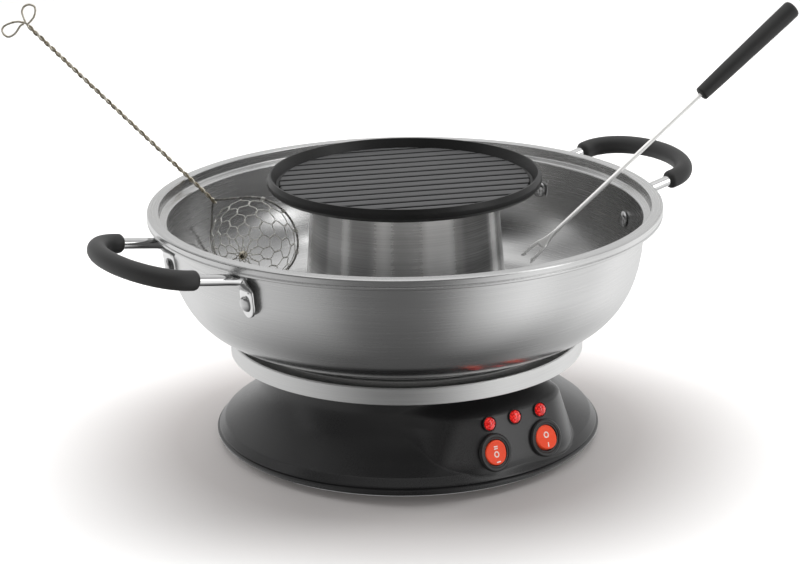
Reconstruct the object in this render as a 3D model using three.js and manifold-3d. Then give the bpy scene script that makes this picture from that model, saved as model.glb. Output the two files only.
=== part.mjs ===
import * as THREE from 'three';
import { mergeVertices } from 'three/addons/utils/BufferGeometryUtils.js';
import Module from 'manifold-3d';

const wasm = await Module();
wasm.setup();

// Electric fondue and grill set, in millimetres, +Z up.
// The origin is the centre of the base's underside. The control pod faces -Y
// and the pot's two handles lie close to the X axis.

// Driving dimensions: fits and fineness
const clearance = 0.3;
const overrun = 2;
const largeSides = 40;
const frontSides = 18;
const rearSides = 24;
const frontAngle = 47;
const midSides = 14;
const smallSides = 8;
const tubeSides = 8;
const elementSides = 6;
const wireSides = 5;

// Base housing: a trumpet on a flat foot
const coverHeight = 4.7;
const footRadius = 125.5;
const footEdgeHeight = 1.5;
const creaseInset = 4.7;
const creaseRadius = footRadius - creaseInset;
const creaseRise = 8;
const footFlare = 33.5;
const neckRadius = footRadius - footFlare;
const housingHeight = 54.7;
const housingWall = 2.5;
const neckLipWidth = 9;
const neckLipRadius = neckRadius - neckLipWidth;
const trumpetShares = [
  [0, 1], [0.118, 0.72], [0.268, 0.43], [0.418, 0.22], [0.525, 0.12], [0.642, 0.05],
  [0.942, 0],
];

// Control pod on the front of the housing
const podSetback = 9.5;
const podReach = footRadius - podSetback;
const podFaceHeight = 30;
const podTiltAngle = 17;
const podHalfWidth = 64;
const podSquareness = 5;
const podTop = 47;
const podRoofRise = 10;
const podFootRise = 4.5;

// Bottom cover, feet and screws
const coverInset = 4;
const coverBevel = 4;
const coverRadius = footRadius - coverInset;
const coverUnderRadius = coverRadius - coverBevel;
const coverWall = 2.2;
const coverRingRadius = 28;
const coverRingWidth = 1.2;
const coverRingDepth = 0.6;
const footPadRadius = 8;
const footPadHeight = 1.5;
const footStemRadius = 3;
const footHeadRadius = 4.4;
const footHeadHeight = 2;
const footInset = 27.5;
const footCircle = footRadius - footInset;
const footCount = 4;
const screwInset = 13.5;
const screwCircle = footRadius - screwInset;
const screwShankRadius = 1.5;
const screwHeadRadius = 3.2;
const screwHeadHeight = 1.2;
const screwLength = 13;
const bossRadius = 4.5;
const bossRise = 13;

// Support band, heating plate and its element
const bandOverhang = 22.5;
const bandRadius = neckRadius + bandOverhang;
const bandHeight = 10;
const bandWall = 1.2;
const bandLip = 0.8;
const hotPlateMargin = 8.5;
const hotPlateRadius = bandRadius - hotPlateMargin;
const hotPlateThickness = 2.2;
const hotPlateSkirt = 1.6;
const hotPlateDepth = 7.6;
const elementRadius = 3.2;
const elementInset = 6;
const fondueElementCircle = neckLipRadius - elementInset;
const hotPlateInset = 8;
const hotPlateInner = fondueElementCircle - hotPlateInset;
const fondueElementBend = 4;
const grillElementBend = 6;
const elementTail = 12;
const elementSteps = 12;
const fondueElementGap = 21.4;
const grillElementGap = 10.6;

// Switches, rockers and lamps on the pod's face
const controlPitch = 20;
const switchDrop = 6;
const lampRise = 12.1;
const bezelRadius = 12;
const bezelHeight = 2.4;
const switchBodyRadius = 10;
const switchBodyWall = 0.8;
const bezelBoreDepth = 1;
const switchBodyDepth = 17;
const rockerRadius = 7.8;
const rockerGap = 0.45;
const rockerDepth = 3.2;
const rockerProud = 2.6;
const rockerPivotDepth = 0.6;
const rockerDipAngle = 8;
const rockerThrowAngle = 12;
const trunnionRadius = 1;
const lampRadius = 5;
const lampRimHeight = 1.3;
const lampBodyRadius = 4.2;
const lampBodyDepth = 12;
const lampWall = 0.8;
const lensProud = 2.6;
const lensStem = 6;
const lensTopShare = 0.6;

// Cord gland and inner electrics
const glandRadius = 6;
const glandBore = 3.6;
const glandLength = 17;
const glandHeight = 17.5;
const glandProud = 5;
const terminalLength = 42;
const terminalWidth = 16;
const terminalHeight = 13;
const terminalInset = 36;
const terminalBack = footCircle - terminalInset;
const thermostatRadius = 9;
const thermostatHeight = 7;
const thermostatInset = 21;
const thermostatCircle = neckLipRadius - thermostatInset;
const fuseRadius = 2.2;
const fuseLength = 14;
const leadRadius = 1.2;
const leadBend = 9;
const leadSpread = 12;

// Pot: bowl, chimney and base disc
const potTurnAngle = -1.8;
const rimRadius = 165;
const rimRoll = 6.5;
const flangeWidth = 7.2;
const flangeInner = rimRadius - flangeWidth;
const ledgeStep = 0.4;
const ledgeRadius = flangeInner - ledgeStep;
const ledgeWidth = 5;
const neckInRadius = ledgeRadius - ledgeWidth;
const sheet = 1;
const bowlWallRadius = neckInRadius + sheet;
const discOverhang = 2;
const discRadius = hotPlateRadius + discOverhang;
const discInset = 1.5;
const discInner = hotPlateInner + discInset;
const discThickness = 3.5;
const bowlDepth = 80;
const bowlShoulderDrop = 8.6;
const bowlHeightPower = 2.33;
const bowlReachPower = 2.75;
const ledgeDrop = 6.4;
const ledgeFall = 1.6;
const chimneyHoleInset = 3;
const chimneyHoleRadius = discInner - chimneyHoleInset;
const chimneyFootInset = 1;
const chimneyFootRadius = chimneyHoleRadius - chimneyFootInset;
const bowlFloorShare = 0.3452;
const bowlFloorRadius = chimneyFootRadius + bowlFloorShare * (bowlWallRadius - chimneyFootRadius);
const chimneyTaper = 6.8;
const chimneyTopRadius = chimneyFootRadius - chimneyTaper;
const chimneyHeight = 88;
const chimneyFlange = 5;
const chimneyFillet = 1.8;

// Central column that carries the grill's element
const columnGap = 11.7;
const columnRadius = chimneyTopRadius - columnGap;
const trayLedge = 4;
const trayHoleRadius = columnRadius - trayLedge;
const columnWall = 1;
const columnFlange = 6;
const columnHeight = 88;
const dishGap = 5.7;
const dishRadius = chimneyTopRadius - dishGap;
const dishDepth = 7;
const dishWall = 0.9;
const grillElementInset = 10;
const grillElementCircle = columnRadius - grillElementInset;
const grillElementRise = 6.3;

// Grill plate
const spigotGap = 2.7;
const spigotRadius = chimneyTopRadius - spigotGap;
const plateOverhang = 31;
const plateRadius = spigotRadius + plateOverhang;
const plateBevel = 8;
const plateUnderRadius = plateRadius - plateBevel;
const plateHeight = 10;
const plateShoulder = 1.5;
const plateShoulderInset = 2;
const plateShoulderRadius = plateRadius - plateShoulderInset;
const plateBase = 3;
const ribHeight = 2;
const ribFieldInset = 7.5;
const ribFieldRadius = plateRadius - ribFieldInset;
const plateBelly = 4.8;
const plateRimRound = 0.9;
const plateRimDrop = 2.2;
const plateCrestInset = 3.2;
const plateCrestWidth = 1;
const plateRimWidth = 5.5;
const spigotWall = 2.4;
const spigotDepth = 4;
const grooveWidth = 2.2;
const groovePitch = 11.4;
const grooveCount = Math.floor((2 * ribFieldRadius) / groovePitch);
const grooveAngle = -24;

// Handles
const handleTubeRadius = 3.5;
const handleHalfWidth = 46.5;
const handleStandoff = 21;
const handleStraight = rimRadius + handleStandoff;
const handleBowDepth = 26.4;
const handleReach = handleStraight + handleBowDepth;
const handleSlopeAngle = 10;
const handleDatumGap = 5;
const handleDatum = rimRadius + handleDatumGap;
const handleDrop = 8.2;
const gripRadius = 6.1;
const gripBore = 4.2;
const gripGap = 15.5;
const gripStart = rimRadius + gripGap;
const tabWidth = 12.6;
const tabThickness = 2.2;
const tabTopDrop = 13;
const tabEndDrop = 36;
const rootSteps = 4;
const bowSteps = 10;
const rivetDrop = 27;
const rivetShank = 2.5;
const rivetHead = 4.6;
const rivetHeadHeight = 2.2;
const rivetInnerHeight = 1.6;
const rivetInnerGap = 0.8;
const rivetCrownShares = [0.6, 0.8, 0.75, 0.7];

// Fondue fork, leaning on the inner edge of the rim's flange
const channelWidth = flangeInner - chimneyFootRadius;
const forkTurnAngle = -12.74;
const forkHeadingAngle = -9.77;
const forkRollAngle = 27.4;
const forkChimneyGap = 18.65;
const forkDrop = 51.7;
const forkBelow = Math.hypot(channelWidth - forkChimneyGap, forkDrop);
const forkLength = 253;
const forkRodRadius = 1.5;
const forkHeadLength = 20;
const forkHeadWidth = 9.6;
const forkThickness = 1.5;
const tineLength = 13.5;
const tineWidth = 1.9;
const barb = 0.9;
const forkHandleLength = 89;
const forkHandleStartRadius = 5;
const forkHandleEndRadius = 6.2;
const forkTang = 18;

// Wire skimmer, leaning on the inner edge of the rim's flange
const skimmerTurnAngle = 121.1;
const skimmerHeadingAngle = 136.2;
const skimmerRollAngle = -95.8;
const skimmerChimneyGap = 25.4;
const skimmerDrop = 64.27;
const skimmerReach = Math.hypot(channelWidth - skimmerChimneyGap, skimmerDrop);
const skimmerBelow = 26.1;
const skimmerHandleLength = 169;
const skimmerWire = 0.65;
const strandGap = 0.5;
const twistPitch = 14;
const ringReachShare = 1.2;
const skimmerRingRadius = (skimmerReach - skimmerBelow) / (1 + ringReachShare);
const skimmerRingReach = skimmerRingRadius * ringReachShare;
const endLoopRadius = 5.2;
const endLoopAngle = 38;
const endLoopSetShare = 0.35;
const endLoopTurnShare = 0.86;
const netInset = 3;
const netDepth = skimmerRingRadius - netInset;
const netColumns = 10;
const netRows = 3;
const netWire = 0.95;
const netPoleRadius = 1.8;
const netZigShare = 0.17;
const netLastShare = 0.93;
const netEndShare = 0.98;
const netFillShare = 0.6;

// Heights that follow from the stack
const housingBottom = coverHeight + clearance;
const neckTop = housingBottom + housingHeight;
const creaseHeight = housingBottom + creaseRise;
const bandBottom = neckTop + clearance;
const trayTop = bandBottom + bandWall;
const hotPlateBottom = trayTop + clearance;
const hotPlateTop = hotPlateBottom + hotPlateDepth + hotPlateThickness;
const discBottom = hotPlateTop + clearance;
const bowlBottom = discBottom + discThickness + clearance;
const bowlFloor = bowlBottom + sheet;
const rimTop = bowlBottom + bowlDepth;
const chimneyBottom = bowlFloor + clearance;
const chimneyTop = chimneyBottom + chimneyHeight;
const plateBottom = chimneyTop + clearance;
const plateTop = plateBottom + plateHeight;
const ribTop = plateBottom + plateBase + ribHeight;
const columnBottom = trayTop + clearance;
const columnTop = columnBottom + columnHeight;

const radians = THREE.MathUtils.degToRad;

// Finishes, one per material of the real object
const finishes = {
  brushedSteel: [0xb4b4b2, 0.32, 1],
  polishedSteel: [0xd9d9d8, 0.12, 1],
  satinBand: [0xd6d6d4, 0.3, 1],
  blackPlastic: [0x1d1d1e, 0.5, 0],
  blackCoating: [0x2b2b2b, 0.6, 0.2],
  blackGrip: [0x2e2e2f, 0.55, 0],
  redRocker: [0xe0452c, 0.35, 0],
  redLens: [0xc4121b, 0.1, 0],
  tinnedWire: [0xb9b09c, 0.3, 1],
  castAluminium: [0x9fa1a3, 0.45, 1],
  elementSheath: [0x4b4a48, 0.5, 1],
  rubber: [0x181818, 0.8, 0],
  ceramic: [0xe6e1d4, 0.6, 0],
  screwSteel: [0x8f9194, 0.35, 1],
  leadJacket: [0x7a4a2a, 0.6, 0],
};

function finish(name) {
  const [color, roughness, metalness] = finishes[name];
  return new THREE.MeshStandardMaterial({ color, roughness, metalness });
}

// Welds a geometry's shared corners and turns its faces outwards
function weld(geometry) {
  const bare = new THREE.BufferGeometry();
  bare.setAttribute('position', geometry.getAttribute('position').clone());
  if (geometry.index) bare.setIndex(geometry.index.clone());
  const merged = mergeVertices(bare);
  const place = merged.getAttribute('position');
  const a = new THREE.Vector3();
  const b = new THREE.Vector3();
  const c = new THREE.Vector3();
  const kept = [];
  let volume = 0;
  for (let i = 0; i < merged.index.count; i += 3) {
    const corners = [merged.index.getX(i), merged.index.getX(i + 1), merged.index.getX(i + 2)];
    if (new Set(corners).size < 3) continue;
    kept.push(...corners);
    a.fromBufferAttribute(place, corners[0]);
    b.fromBufferAttribute(place, corners[1]);
    c.fromBufferAttribute(place, corners[2]);
    volume += a.dot(b.cross(c));
  }
  if (volume < 0) {
    for (let i = 0; i < kept.length; i += 3) [kept[i + 1], kept[i + 2]] = [kept[i + 2], kept[i + 1]];
  }
  merged.setIndex(kept);
  return merged;
}

function toSolid(geometry) {
  const merged = weld(geometry);
  return new wasm.Manifold(new wasm.Mesh({
    numProp: 3,
    vertProperties: new Float32Array(merged.getAttribute('position').array),
    triVerts: new Uint32Array(merged.index.array),
  }));
}

function fromSolid(solid) {
  const mesh = solid.getMesh();
  const geometry = new THREE.BufferGeometry();
  geometry.setAttribute('position', new THREE.BufferAttribute(new Float32Array(mesh.vertProperties), 3));
  geometry.setIndex(new THREE.BufferAttribute(new Uint32Array(mesh.triVerts), 1));
  return geometry;
}

function cut(geometry, tools) {
  return fromSolid(tools.reduce((solid, tool) => solid.subtract(toSolid(tool)), toSolid(geometry)));
}

function join(geometry, others) {
  return fromSolid(others.reduce((solid, other) => solid.add(toSolid(other)), toSolid(geometry)));
}

function piece(parent, name, geometry, material) {
  const mesh = new THREE.Mesh(weld(geometry), material);
  mesh.name = name;
  parent.add(mesh);
  return mesh;
}

// A profile of [radius, height] pairs, closed on itself or on the axis, turned about Z
function turned(profile, sides) {
  const points = profile.map(([radius, height]) => new THREE.Vector2(radius, height));
  const closed = profile[0][0] > 0;
  if (closed) points.push(points[0].clone());
  return new THREE.LatheGeometry(points, sides).rotateX(Math.PI / 2);
}

// A cylinder along Z from one height to another
function rod(radius, low, high, sides = smallSides) {
  return new THREE.CylinderGeometry(radius, radius, high - low, sides)
    .rotateX(Math.PI / 2)
    .translate(0, 0, (low + high) / 2);
}

function block(width, depth, height) {
  return new THREE.BoxGeometry(width, depth, height);
}

function circleShape(radius, sides) {
  const shape = new THREE.Shape();
  for (let i = 0; i < sides; i += 1) {
    const angle = (i / sides) * 2 * Math.PI;
    const x = radius * Math.cos(angle);
    const y = radius * Math.sin(angle);
    if (i === 0) shape.moveTo(x, y);
    else shape.lineTo(x, y);
  }
  shape.closePath();
  return shape;
}

// A path that a tube's rings follow point by point
class PointPath extends THREE.Curve {
  constructor(points) {
    super();
    this.points = points;
  }

  getPoint(share, target = new THREE.Vector3()) {
    const place = share * (this.points.length - 1);
    const i = Math.min(Math.floor(place), this.points.length - 2);
    return target.lerpVectors(this.points[i], this.points[i + 1], place - i);
  }

  getPointAt(share, target) {
    return this.getPoint(share, target);
  }

  getTangentAt(share, target) {
    return this.getTangent(share, target);
  }
}

// A tube with a ring at every point, and a bore if one is given
function tube(points, radius, sides = tubeSides, bore = 0) {
  const shape = circleShape(radius, sides);
  if (bore > 0) shape.holes.push(circleShape(bore, sides));
  const extrudePath = new PointPath(points);
  return new THREE.ExtrudeGeometry(shape, { steps: points.length - 1, extrudePath, bevelEnabled: false });
}

function smooth(points, steps) {
  return new THREE.CatmullRomCurve3(points, false, 'centripetal').getPoints(steps);
}

// Points moved sideways from a [radius, height] line, to its left
function offsetLine(line, distance) {
  return line.map(([radius, height], i) => {
    const [r0, h0] = line[Math.max(i - 1, 0)];
    const [r1, h1] = line[Math.min(i + 1, line.length - 1)];
    const length = Math.hypot(r1 - r0, h1 - h0);
    return [radius - (distance * (h1 - h0)) / length, height + (distance * (r1 - r0)) / length];
  });
}

function lerpTable(table, x) {
  const next = table.findIndex(([key]) => key >= x);
  if (next < 0) return table[table.length - 1][1];
  if (next === 0) return table[0][1];
  const [x0, y0] = table[next - 1];
  const [x1, y1] = table[next];
  return y0 + ((y1 - y0) * (x - x0)) / (x1 - x0);
}

// Radius of the plain trumpet at a height
function trumpetRadius(height) {
  if (height >= creaseHeight) {
    const share = (height - creaseHeight) / (neckTop - creaseHeight);
    return neckRadius + (creaseRadius - neckRadius) * lerpTable(trumpetShares, share);
  }
  const edgeTop = housingBottom + footEdgeHeight;
  const share = Math.max((height - edgeTop) / (creaseHeight - edgeTop), 0);
  return footRadius + (creaseRadius - footRadius) * share;
}

// Reach of the pod's face plane from the axis at a height, with its roof running back to the neck
function podDepth(height) {
  const face = podReach - (height - podFaceHeight) * Math.tan(radians(podTiltAngle));
  if (height <= podTop) return face;
  const edge = podReach - (podTop - podFaceHeight) * Math.tan(radians(podTiltAngle));
  return edge + ((neckRadius - edge) * (height - podTop)) / podRoofRise;
}

// Outer radius of the housing at an angle from the pod's middle: the larger of the trumpet and
// the pod's rounded rectangle, kept inside the foot
function housingRadius(angle, height) {
  const plain = trumpetRadius(height);
  if (height < housingBottom + podFootRise || Math.cos(angle) <= 0) return plain;
  const across = Math.pow(Math.cos(angle) / podDepth(height), podSquareness);
  const aside = Math.pow(Math.abs(Math.sin(angle)) / podHalfWidth, podSquareness);
  const pod = Math.pow(across + aside, -1 / podSquareness);
  return Math.min(Math.max(plain, pod), footRadius - clearance);
}

// Angles round the housing from the pod's middle, closer together across the pod
function housingAngles() {
  const angles = [];
  for (let i = 0; i < frontSides; i += 1) angles.push(frontAngle * ((2 * i) / frontSides - 1));
  for (let i = 0; i < rearSides; i += 1) angles.push(frontAngle + ((360 - 2 * frontAngle) * i) / rearSides);
  return angles.map(radians);
}

// Housing skin: rings of points go up the outside, over the neck lip and down the inside
function housingSkin() {
  const heights = [housingBottom, housingBottom + footEdgeHeight, housingBottom + podFootRise, creaseHeight];
  for (const [share] of trumpetShares.slice(1)) {
    heights.push(creaseHeight + share * (neckTop - creaseHeight));
  }
  const rings = heights.map((height) => ({ height, inset: 0 }));
  rings.push({ height: neckTop, radius: neckRadius });
  rings.push({ height: neckTop, radius: neckLipRadius });
  rings.push({ height: neckTop - housingWall, radius: neckLipRadius });
  rings.push({ height: neckTop - housingWall, radius: neckRadius - housingWall });
  const innerHeights = heights.filter((height, i) => i % 3 === 0 && height < neckTop - housingWall - clearance);
  for (const height of innerHeights.reverse()) rings.push({ height, inset: housingWall });
  const positions = [];
  const index = [];
  const angles = housingAngles();
  const count = angles.length;
  rings.forEach(({ height, radius, inset }, row) => {
    angles.forEach((angle, side) => {
      const reach = radius ?? housingRadius(angle, height) - inset;
      positions.push(reach * Math.sin(angle), -reach * Math.cos(angle), height);
      const nextRow = (row + 1) % rings.length;
      const nextSide = (side + 1) % count;
      const a = row * count + side;
      const b = row * count + nextSide;
      const c = nextRow * count + nextSide;
      const d = nextRow * count + side;
      index.push(a, b, c, a, c, d);
    });
  });
  const geometry = new THREE.BufferGeometry();
  geometry.setAttribute('position', new THREE.Float32BufferAttribute(positions, 3));
  geometry.setIndex(index);
  return geometry;
}

// A frame on the pod's face: X across, Y up the face, Z out of it
function podPlace(across, up, out = 0) {
  const tilt = radians(podTiltAngle);
  const place = new THREE.Matrix4().makeRotationX(Math.PI / 2 - tilt);
  const offset = new THREE.Vector3(across, up, out).applyMatrix4(place);
  return place.setPosition(offset.x, offset.y - podReach, offset.z + podFaceHeight);
}

function aroundAxis(count, startAngle, use) {
  for (let i = 0; i < count; i += 1) use(i, radians(startAngle + (i * 360) / count));
}

const group = new THREE.Group();

function addHousing() {
  const tools = [];
  for (const side of [-1, 1]) {
    const hole = rod(switchBodyRadius + clearance, -switchBodyDepth, bezelHeight + overrun, midSides);
    tools.push(hole.applyMatrix4(podPlace(side * controlPitch, -switchDrop)));
  }
  for (const step of [-1, 0, 1]) {
    const hole = rod(lampBodyRadius + clearance, -lampBodyDepth, lampRimHeight + overrun);
    tools.push(hole.applyMatrix4(podPlace(step * controlPitch, lampRise)));
  }
  const glandHole = rod(glandRadius + clearance, footRadius - glandLength * 2, footRadius + overrun);
  tools.push(glandHole.rotateX(-Math.PI / 2).translate(0, 0, glandHeight));
  const bosses = [];
  aroundAxis(footCount, 45, (i, angle) => {
    const [x, y] = [screwCircle * Math.cos(angle), screwCircle * Math.sin(angle)];
    bosses.push(rod(bossRadius, housingBottom, housingBottom + bossRise).translate(x, y, 0));
    const bore = rod(screwShankRadius + clearance, housingBottom - overrun, screwLength + clearance);
    tools.push(bore.translate(x, y, 0));
  });
  piece(group, 'base_housing', cut(join(housingSkin(), bosses), tools), finish('blackPlastic'));
}

function addCover() {
  const edge = coverHeight - coverWall;
  const cover = turned([
    [0, 0], [coverUnderRadius, 0], [coverRadius, edge], [coverRadius, coverHeight],
    [coverRadius - coverWall, coverHeight], [coverUnderRadius - coverWall, coverWall], [0, coverWall],
  ], largeSides);
  const tools = [];
  aroundAxis(footCount, 0, (i, angle) => {
    const hole = rod(footStemRadius + clearance, -overrun, coverWall + overrun);
    tools.push(hole.translate(footCircle * Math.cos(angle), footCircle * Math.sin(angle), 0));
  });
  aroundAxis(footCount, 45, (i, angle) => {
    const [x, y] = [screwCircle * Math.cos(angle), screwCircle * Math.sin(angle)];
    tools.push(rod(screwShankRadius + clearance, -overrun, coverWall + overrun).translate(x, y, 0));
    tools.push(rod(screwHeadRadius + clearance, -overrun, screwHeadHeight + clearance).translate(x, y, 0));
  });
  const ringInner = coverRingRadius - coverRingWidth;
  tools.push(turned([
    [ringInner, -overrun], [coverRingRadius, -overrun],
    [coverRingRadius, coverRingDepth], [ringInner, coverRingDepth],
  ], tubeSides));
  piece(group, 'bottom_cover', cut(cover, tools), finish('blackPlastic'));
}

function addFeetAndScrews() {
  const padCorner = footPadHeight / 2;
  const headBottom = coverWall + clearance;
  aroundAxis(footCount, 0, (i, angle) => {
    const foot = turned([
      [0, -footPadHeight], [footPadRadius - padCorner, -footPadHeight], [footPadRadius, -clearance],
      [footStemRadius, -clearance], [footStemRadius, headBottom], [footHeadRadius, headBottom],
      [footHeadRadius, headBottom + footHeadHeight], [0, headBottom + footHeadHeight],
    ], smallSides);
    const mesh = piece(group, `rubber_foot_${i + 1}`, foot, finish('rubber'));
    mesh.position.set(footCircle * Math.cos(angle), footCircle * Math.sin(angle), 0);
  });
  aroundAxis(footCount, 45, (i, angle) => {
    const screw = turned([
      [0, 0], [screwHeadRadius, 0], [screwHeadRadius, screwHeadHeight],
      [screwShankRadius, screwHeadHeight], [screwShankRadius, screwLength], [0, screwLength],
    ], smallSides);
    const mesh = piece(group, `cover_screw_${i + 1}`, screw, finish('screwSteel'));
    mesh.position.set(screwCircle * Math.cos(angle), screwCircle * Math.sin(angle), 0);
  });
}

// Path of an open heating loop: up a tail, once round the circle and down the other tail
function elementPath(circle, height, bend, opening) {
  const gap = Math.asin(opening / 2 / circle);
  const corner = bend / circle;
  const half = [];
  const put = (angle, z) => half.push([angle, z]);
  put(gap, height - bend - elementTail);
  put(gap, height - bend);
  for (const share of [1 / 3, 2 / 3, 1]) {
    const turn = (share * Math.PI) / 2;
    put(gap + corner * (1 - Math.cos(turn)), height - bend * (1 - Math.sin(turn)));
  }
  const start = gap + corner;
  for (let i = 1; i <= elementSteps; i += 1) put(start + ((Math.PI - start) * i) / elementSteps, height);
  const rest = half.slice(0, -1).reverse().map(([angle, z]) => [2 * Math.PI - angle, z]);
  return [...half, ...rest].map(
    ([angle, z]) => new THREE.Vector3(circle * Math.cos(angle), circle * Math.sin(angle), z),
  );
}

// Holes for a loop's two tails
function tailHoles(circle, low, high, opening) {
  const gap = Math.asin(opening / 2 / circle);
  return [-gap, gap].map((angle) => rod(elementRadius + clearance * 2, low, high)
    .translate(circle * Math.cos(angle), circle * Math.sin(angle), 0));
}

const fondueElementHeight = hotPlateBottom + hotPlateDepth - clearance - elementRadius;
const dishFloor = columnTop + clearance;
const grillElementHeight = dishFloor + dishWall + clearance + grillElementRise;

function addHeater() {
  const band = turned([
    [trayHoleRadius, bandBottom], [bandRadius - bandLip, bandBottom], [bandRadius, bandBottom + bandLip],
    [bandRadius, bandBottom + bandHeight], [bandRadius - bandWall, bandBottom + bandHeight],
    [bandRadius - bandWall, trayTop], [trayHoleRadius, trayTop],
  ], largeSides);
  const holes = tailHoles(fondueElementCircle, bandBottom - overrun, trayTop + overrun, fondueElementGap);
  piece(group, 'support_band', cut(band, holes), finish('satinBand'));
  const underside = hotPlateBottom + hotPlateDepth;
  const plate = turned([
    [hotPlateInner, hotPlateBottom], [hotPlateInner + hotPlateSkirt, hotPlateBottom],
    [hotPlateInner + hotPlateSkirt, underside], [hotPlateRadius - hotPlateSkirt, underside],
    [hotPlateRadius - hotPlateSkirt, hotPlateBottom], [hotPlateRadius, hotPlateBottom],
    [hotPlateRadius, hotPlateTop], [hotPlateInner, hotPlateTop],
  ], largeSides);
  piece(group, 'heating_plate', plate, finish('castAluminium'));
  const path = elementPath(fondueElementCircle, fondueElementHeight, fondueElementBend, fondueElementGap);
  const loop = tube(path, elementRadius, elementSides);
  piece(group, 'fondue_element', loop, finish('elementSheath'));
}

function addColumn() {
  const column = turned([
    [columnRadius - columnWall, columnBottom], [columnRadius + columnFlange, columnBottom],
    [columnRadius + columnFlange, columnBottom + columnWall], [columnRadius, columnBottom + columnWall],
    [columnRadius, columnTop], [columnRadius - columnWall, columnTop],
  ], largeSides);
  piece(group, 'grill_column', column, finish('brushedSteel'));
  const dish = turned([
    [0, dishFloor], [dishRadius - dishDepth / 2, dishFloor], [dishRadius, dishFloor + dishDepth],
    [dishRadius - dishWall, dishFloor + dishDepth],
    [dishRadius - dishDepth / 2 - dishWall, dishFloor + dishWall],
    [0, dishFloor + dishWall],
  ], largeSides);
  const dishTop = dishFloor + dishWall;
  const holes = tailHoles(grillElementCircle, dishFloor - overrun, dishTop + overrun, grillElementGap);
  piece(group, 'grill_reflector', cut(dish, holes), finish('brushedSteel'));
  const path = elementPath(grillElementCircle, grillElementHeight, grillElementBend, grillElementGap);
  const loop = tube(path, elementRadius, elementSides);
  piece(group, 'grill_element', loop, finish('elementSheath'));
}

// A rocker: a round key, rounded about its pivot, whose top dips to the middle, with two trunnions
function rockerKey(restAngle) {
  const dip = rockerRadius * Math.tan(radians(rockerDipAngle));
  const top = rockerProud + rockerPivotDepth;
  const ball = rockerRadius + rockerGap / 3;
  const width = 2 * (rockerRadius + overrun);
  const side = new THREE.Shape();
  side.moveTo(-width / 2, -rockerDepth - overrun);
  side.lineTo(width / 2, -rockerDepth - overrun);
  side.lineTo(width / 2, top + dip);
  side.lineTo(0, top);
  side.lineTo(-width / 2, top + dip);
  side.closePath();
  const slab = new THREE.ExtrudeGeometry(side, { depth: width, bevelEnabled: false })
    .translate(0, 0, -width / 2).rotateY(Math.PI / 2).rotateX(Math.PI / 2);
  const barrel = turned([-rockerDepth, rockerPivotDepth, top / 2, top, top + dip].map((height) => [
    Math.min(Math.sqrt(ball * ball - height * height), rockerRadius), height,
  ]).concat([[0, top + dip]]).reverse().concat([[0, -rockerDepth]]).reverse(), midSides);
  const key = toSolid(barrel).intersect(toSolid(slab));
  const reach = switchBodyRadius - switchBodyWall - rockerGap;
  const pin = rod(trunnionRadius, -reach, reach, tubeSides).rotateY(Math.PI / 2);
  return fromSolid(key.add(toSolid(pin))).rotateX(radians(restAngle));
}

function addControls() {
  const names = ['fondue', 'grill'];
  const restAngles = [0, -rockerThrowAngle];
  names.forEach((name, i) => {
    const side = i === 0 ? -1 : 1;
    const holder = new THREE.Group();
    holder.applyMatrix4(podPlace(side * controlPitch, -switchDrop));
    group.add(holder);
    const boreRadius = rockerRadius + rockerGap;
    const innerRadius = switchBodyRadius - switchBodyWall;
    const boreBottom = bezelHeight - bezelBoreDepth;
    const body = turned([
      [0, -switchBodyDepth], [switchBodyRadius, -switchBodyDepth], [switchBodyRadius, clearance],
      [bezelRadius, clearance], [bezelRadius, bezelHeight / 2], [bezelRadius - bezelHeight / 2, bezelHeight],
      [boreRadius, bezelHeight], [boreRadius, boreBottom], [innerRadius, boreBottom - clearance],
      [innerRadius, switchBodyWall - switchBodyDepth], [0, switchBodyWall - switchBodyDepth],
    ], midSides);
    piece(holder, `${name}_switch_body`, body, finish('blackPlastic'));
    const rocker = piece(holder, `${name}_rocker`, rockerKey(restAngles[i]), finish('redRocker'));
    rocker.position.z = -rockerPivotDepth;
  });
  ['left', 'middle', 'right'].forEach((name, i) => {
    const holder = new THREE.Group();
    holder.applyMatrix4(podPlace((i - 1) * controlPitch, lampRise));
    group.add(holder);
    const lensRadius = lampBodyRadius - lampWall;
    const body = turned([
      [lensRadius, -lampBodyDepth], [lampBodyRadius, -lampBodyDepth], [lampBodyRadius, clearance],
      [lampRadius, clearance], [lampRadius, lampRimHeight], [lensRadius, lampRimHeight],
    ], smallSides);
    piece(holder, `${name}_lamp_body`, body, finish('blackPlastic'));
    const stem = lensRadius - clearance;
    const lens = turned([
      [0, -lensStem], [stem, -lensStem], [stem, lampRimHeight],
      [stem * lensTopShare, lensProud], [0, lensProud],
    ], smallSides);
    piece(holder, `${name}_lamp_lens`, lens, finish('redLens'));
  });
}

function addElectrics() {
  const gland = turned([
    [glandBore, 0], [glandRadius, 0], [glandRadius, glandLength], [glandBore, glandLength],
  ], smallSides);
  const glandEnd = trumpetRadius(glandHeight) + glandProud;
  gland.rotateX(-Math.PI / 2).translate(0, glandEnd - glandLength, glandHeight);
  piece(group, 'cord_gland', gland, finish('rubber'));
  const terminal = block(terminalLength, terminalWidth, terminalHeight);
  const terminalMiddle = coverWall + clearance + terminalHeight / 2;
  piece(group, 'terminal_block', terminal, finish('ceramic')).position.set(0, terminalBack, terminalMiddle);
  const underTray = bandBottom - clearance;
  const thermostat = rod(thermostatRadius, underTray - thermostatHeight, underTray);
  piece(group, 'thermostat', thermostat, finish('ceramic')).position.set(0, thermostatCircle, 0);
  const fuse = rod(fuseRadius, -fuseLength / 2, fuseLength / 2, tubeSides).rotateY(Math.PI / 2);
  const fuseMesh = piece(group, 'thermal_fuse', fuse, finish('ceramic'));
  fuseMesh.position.set(-thermostatCircle, 0, underTray - fuseRadius);
  addLeads(terminalMiddle, underTray);
}

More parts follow.
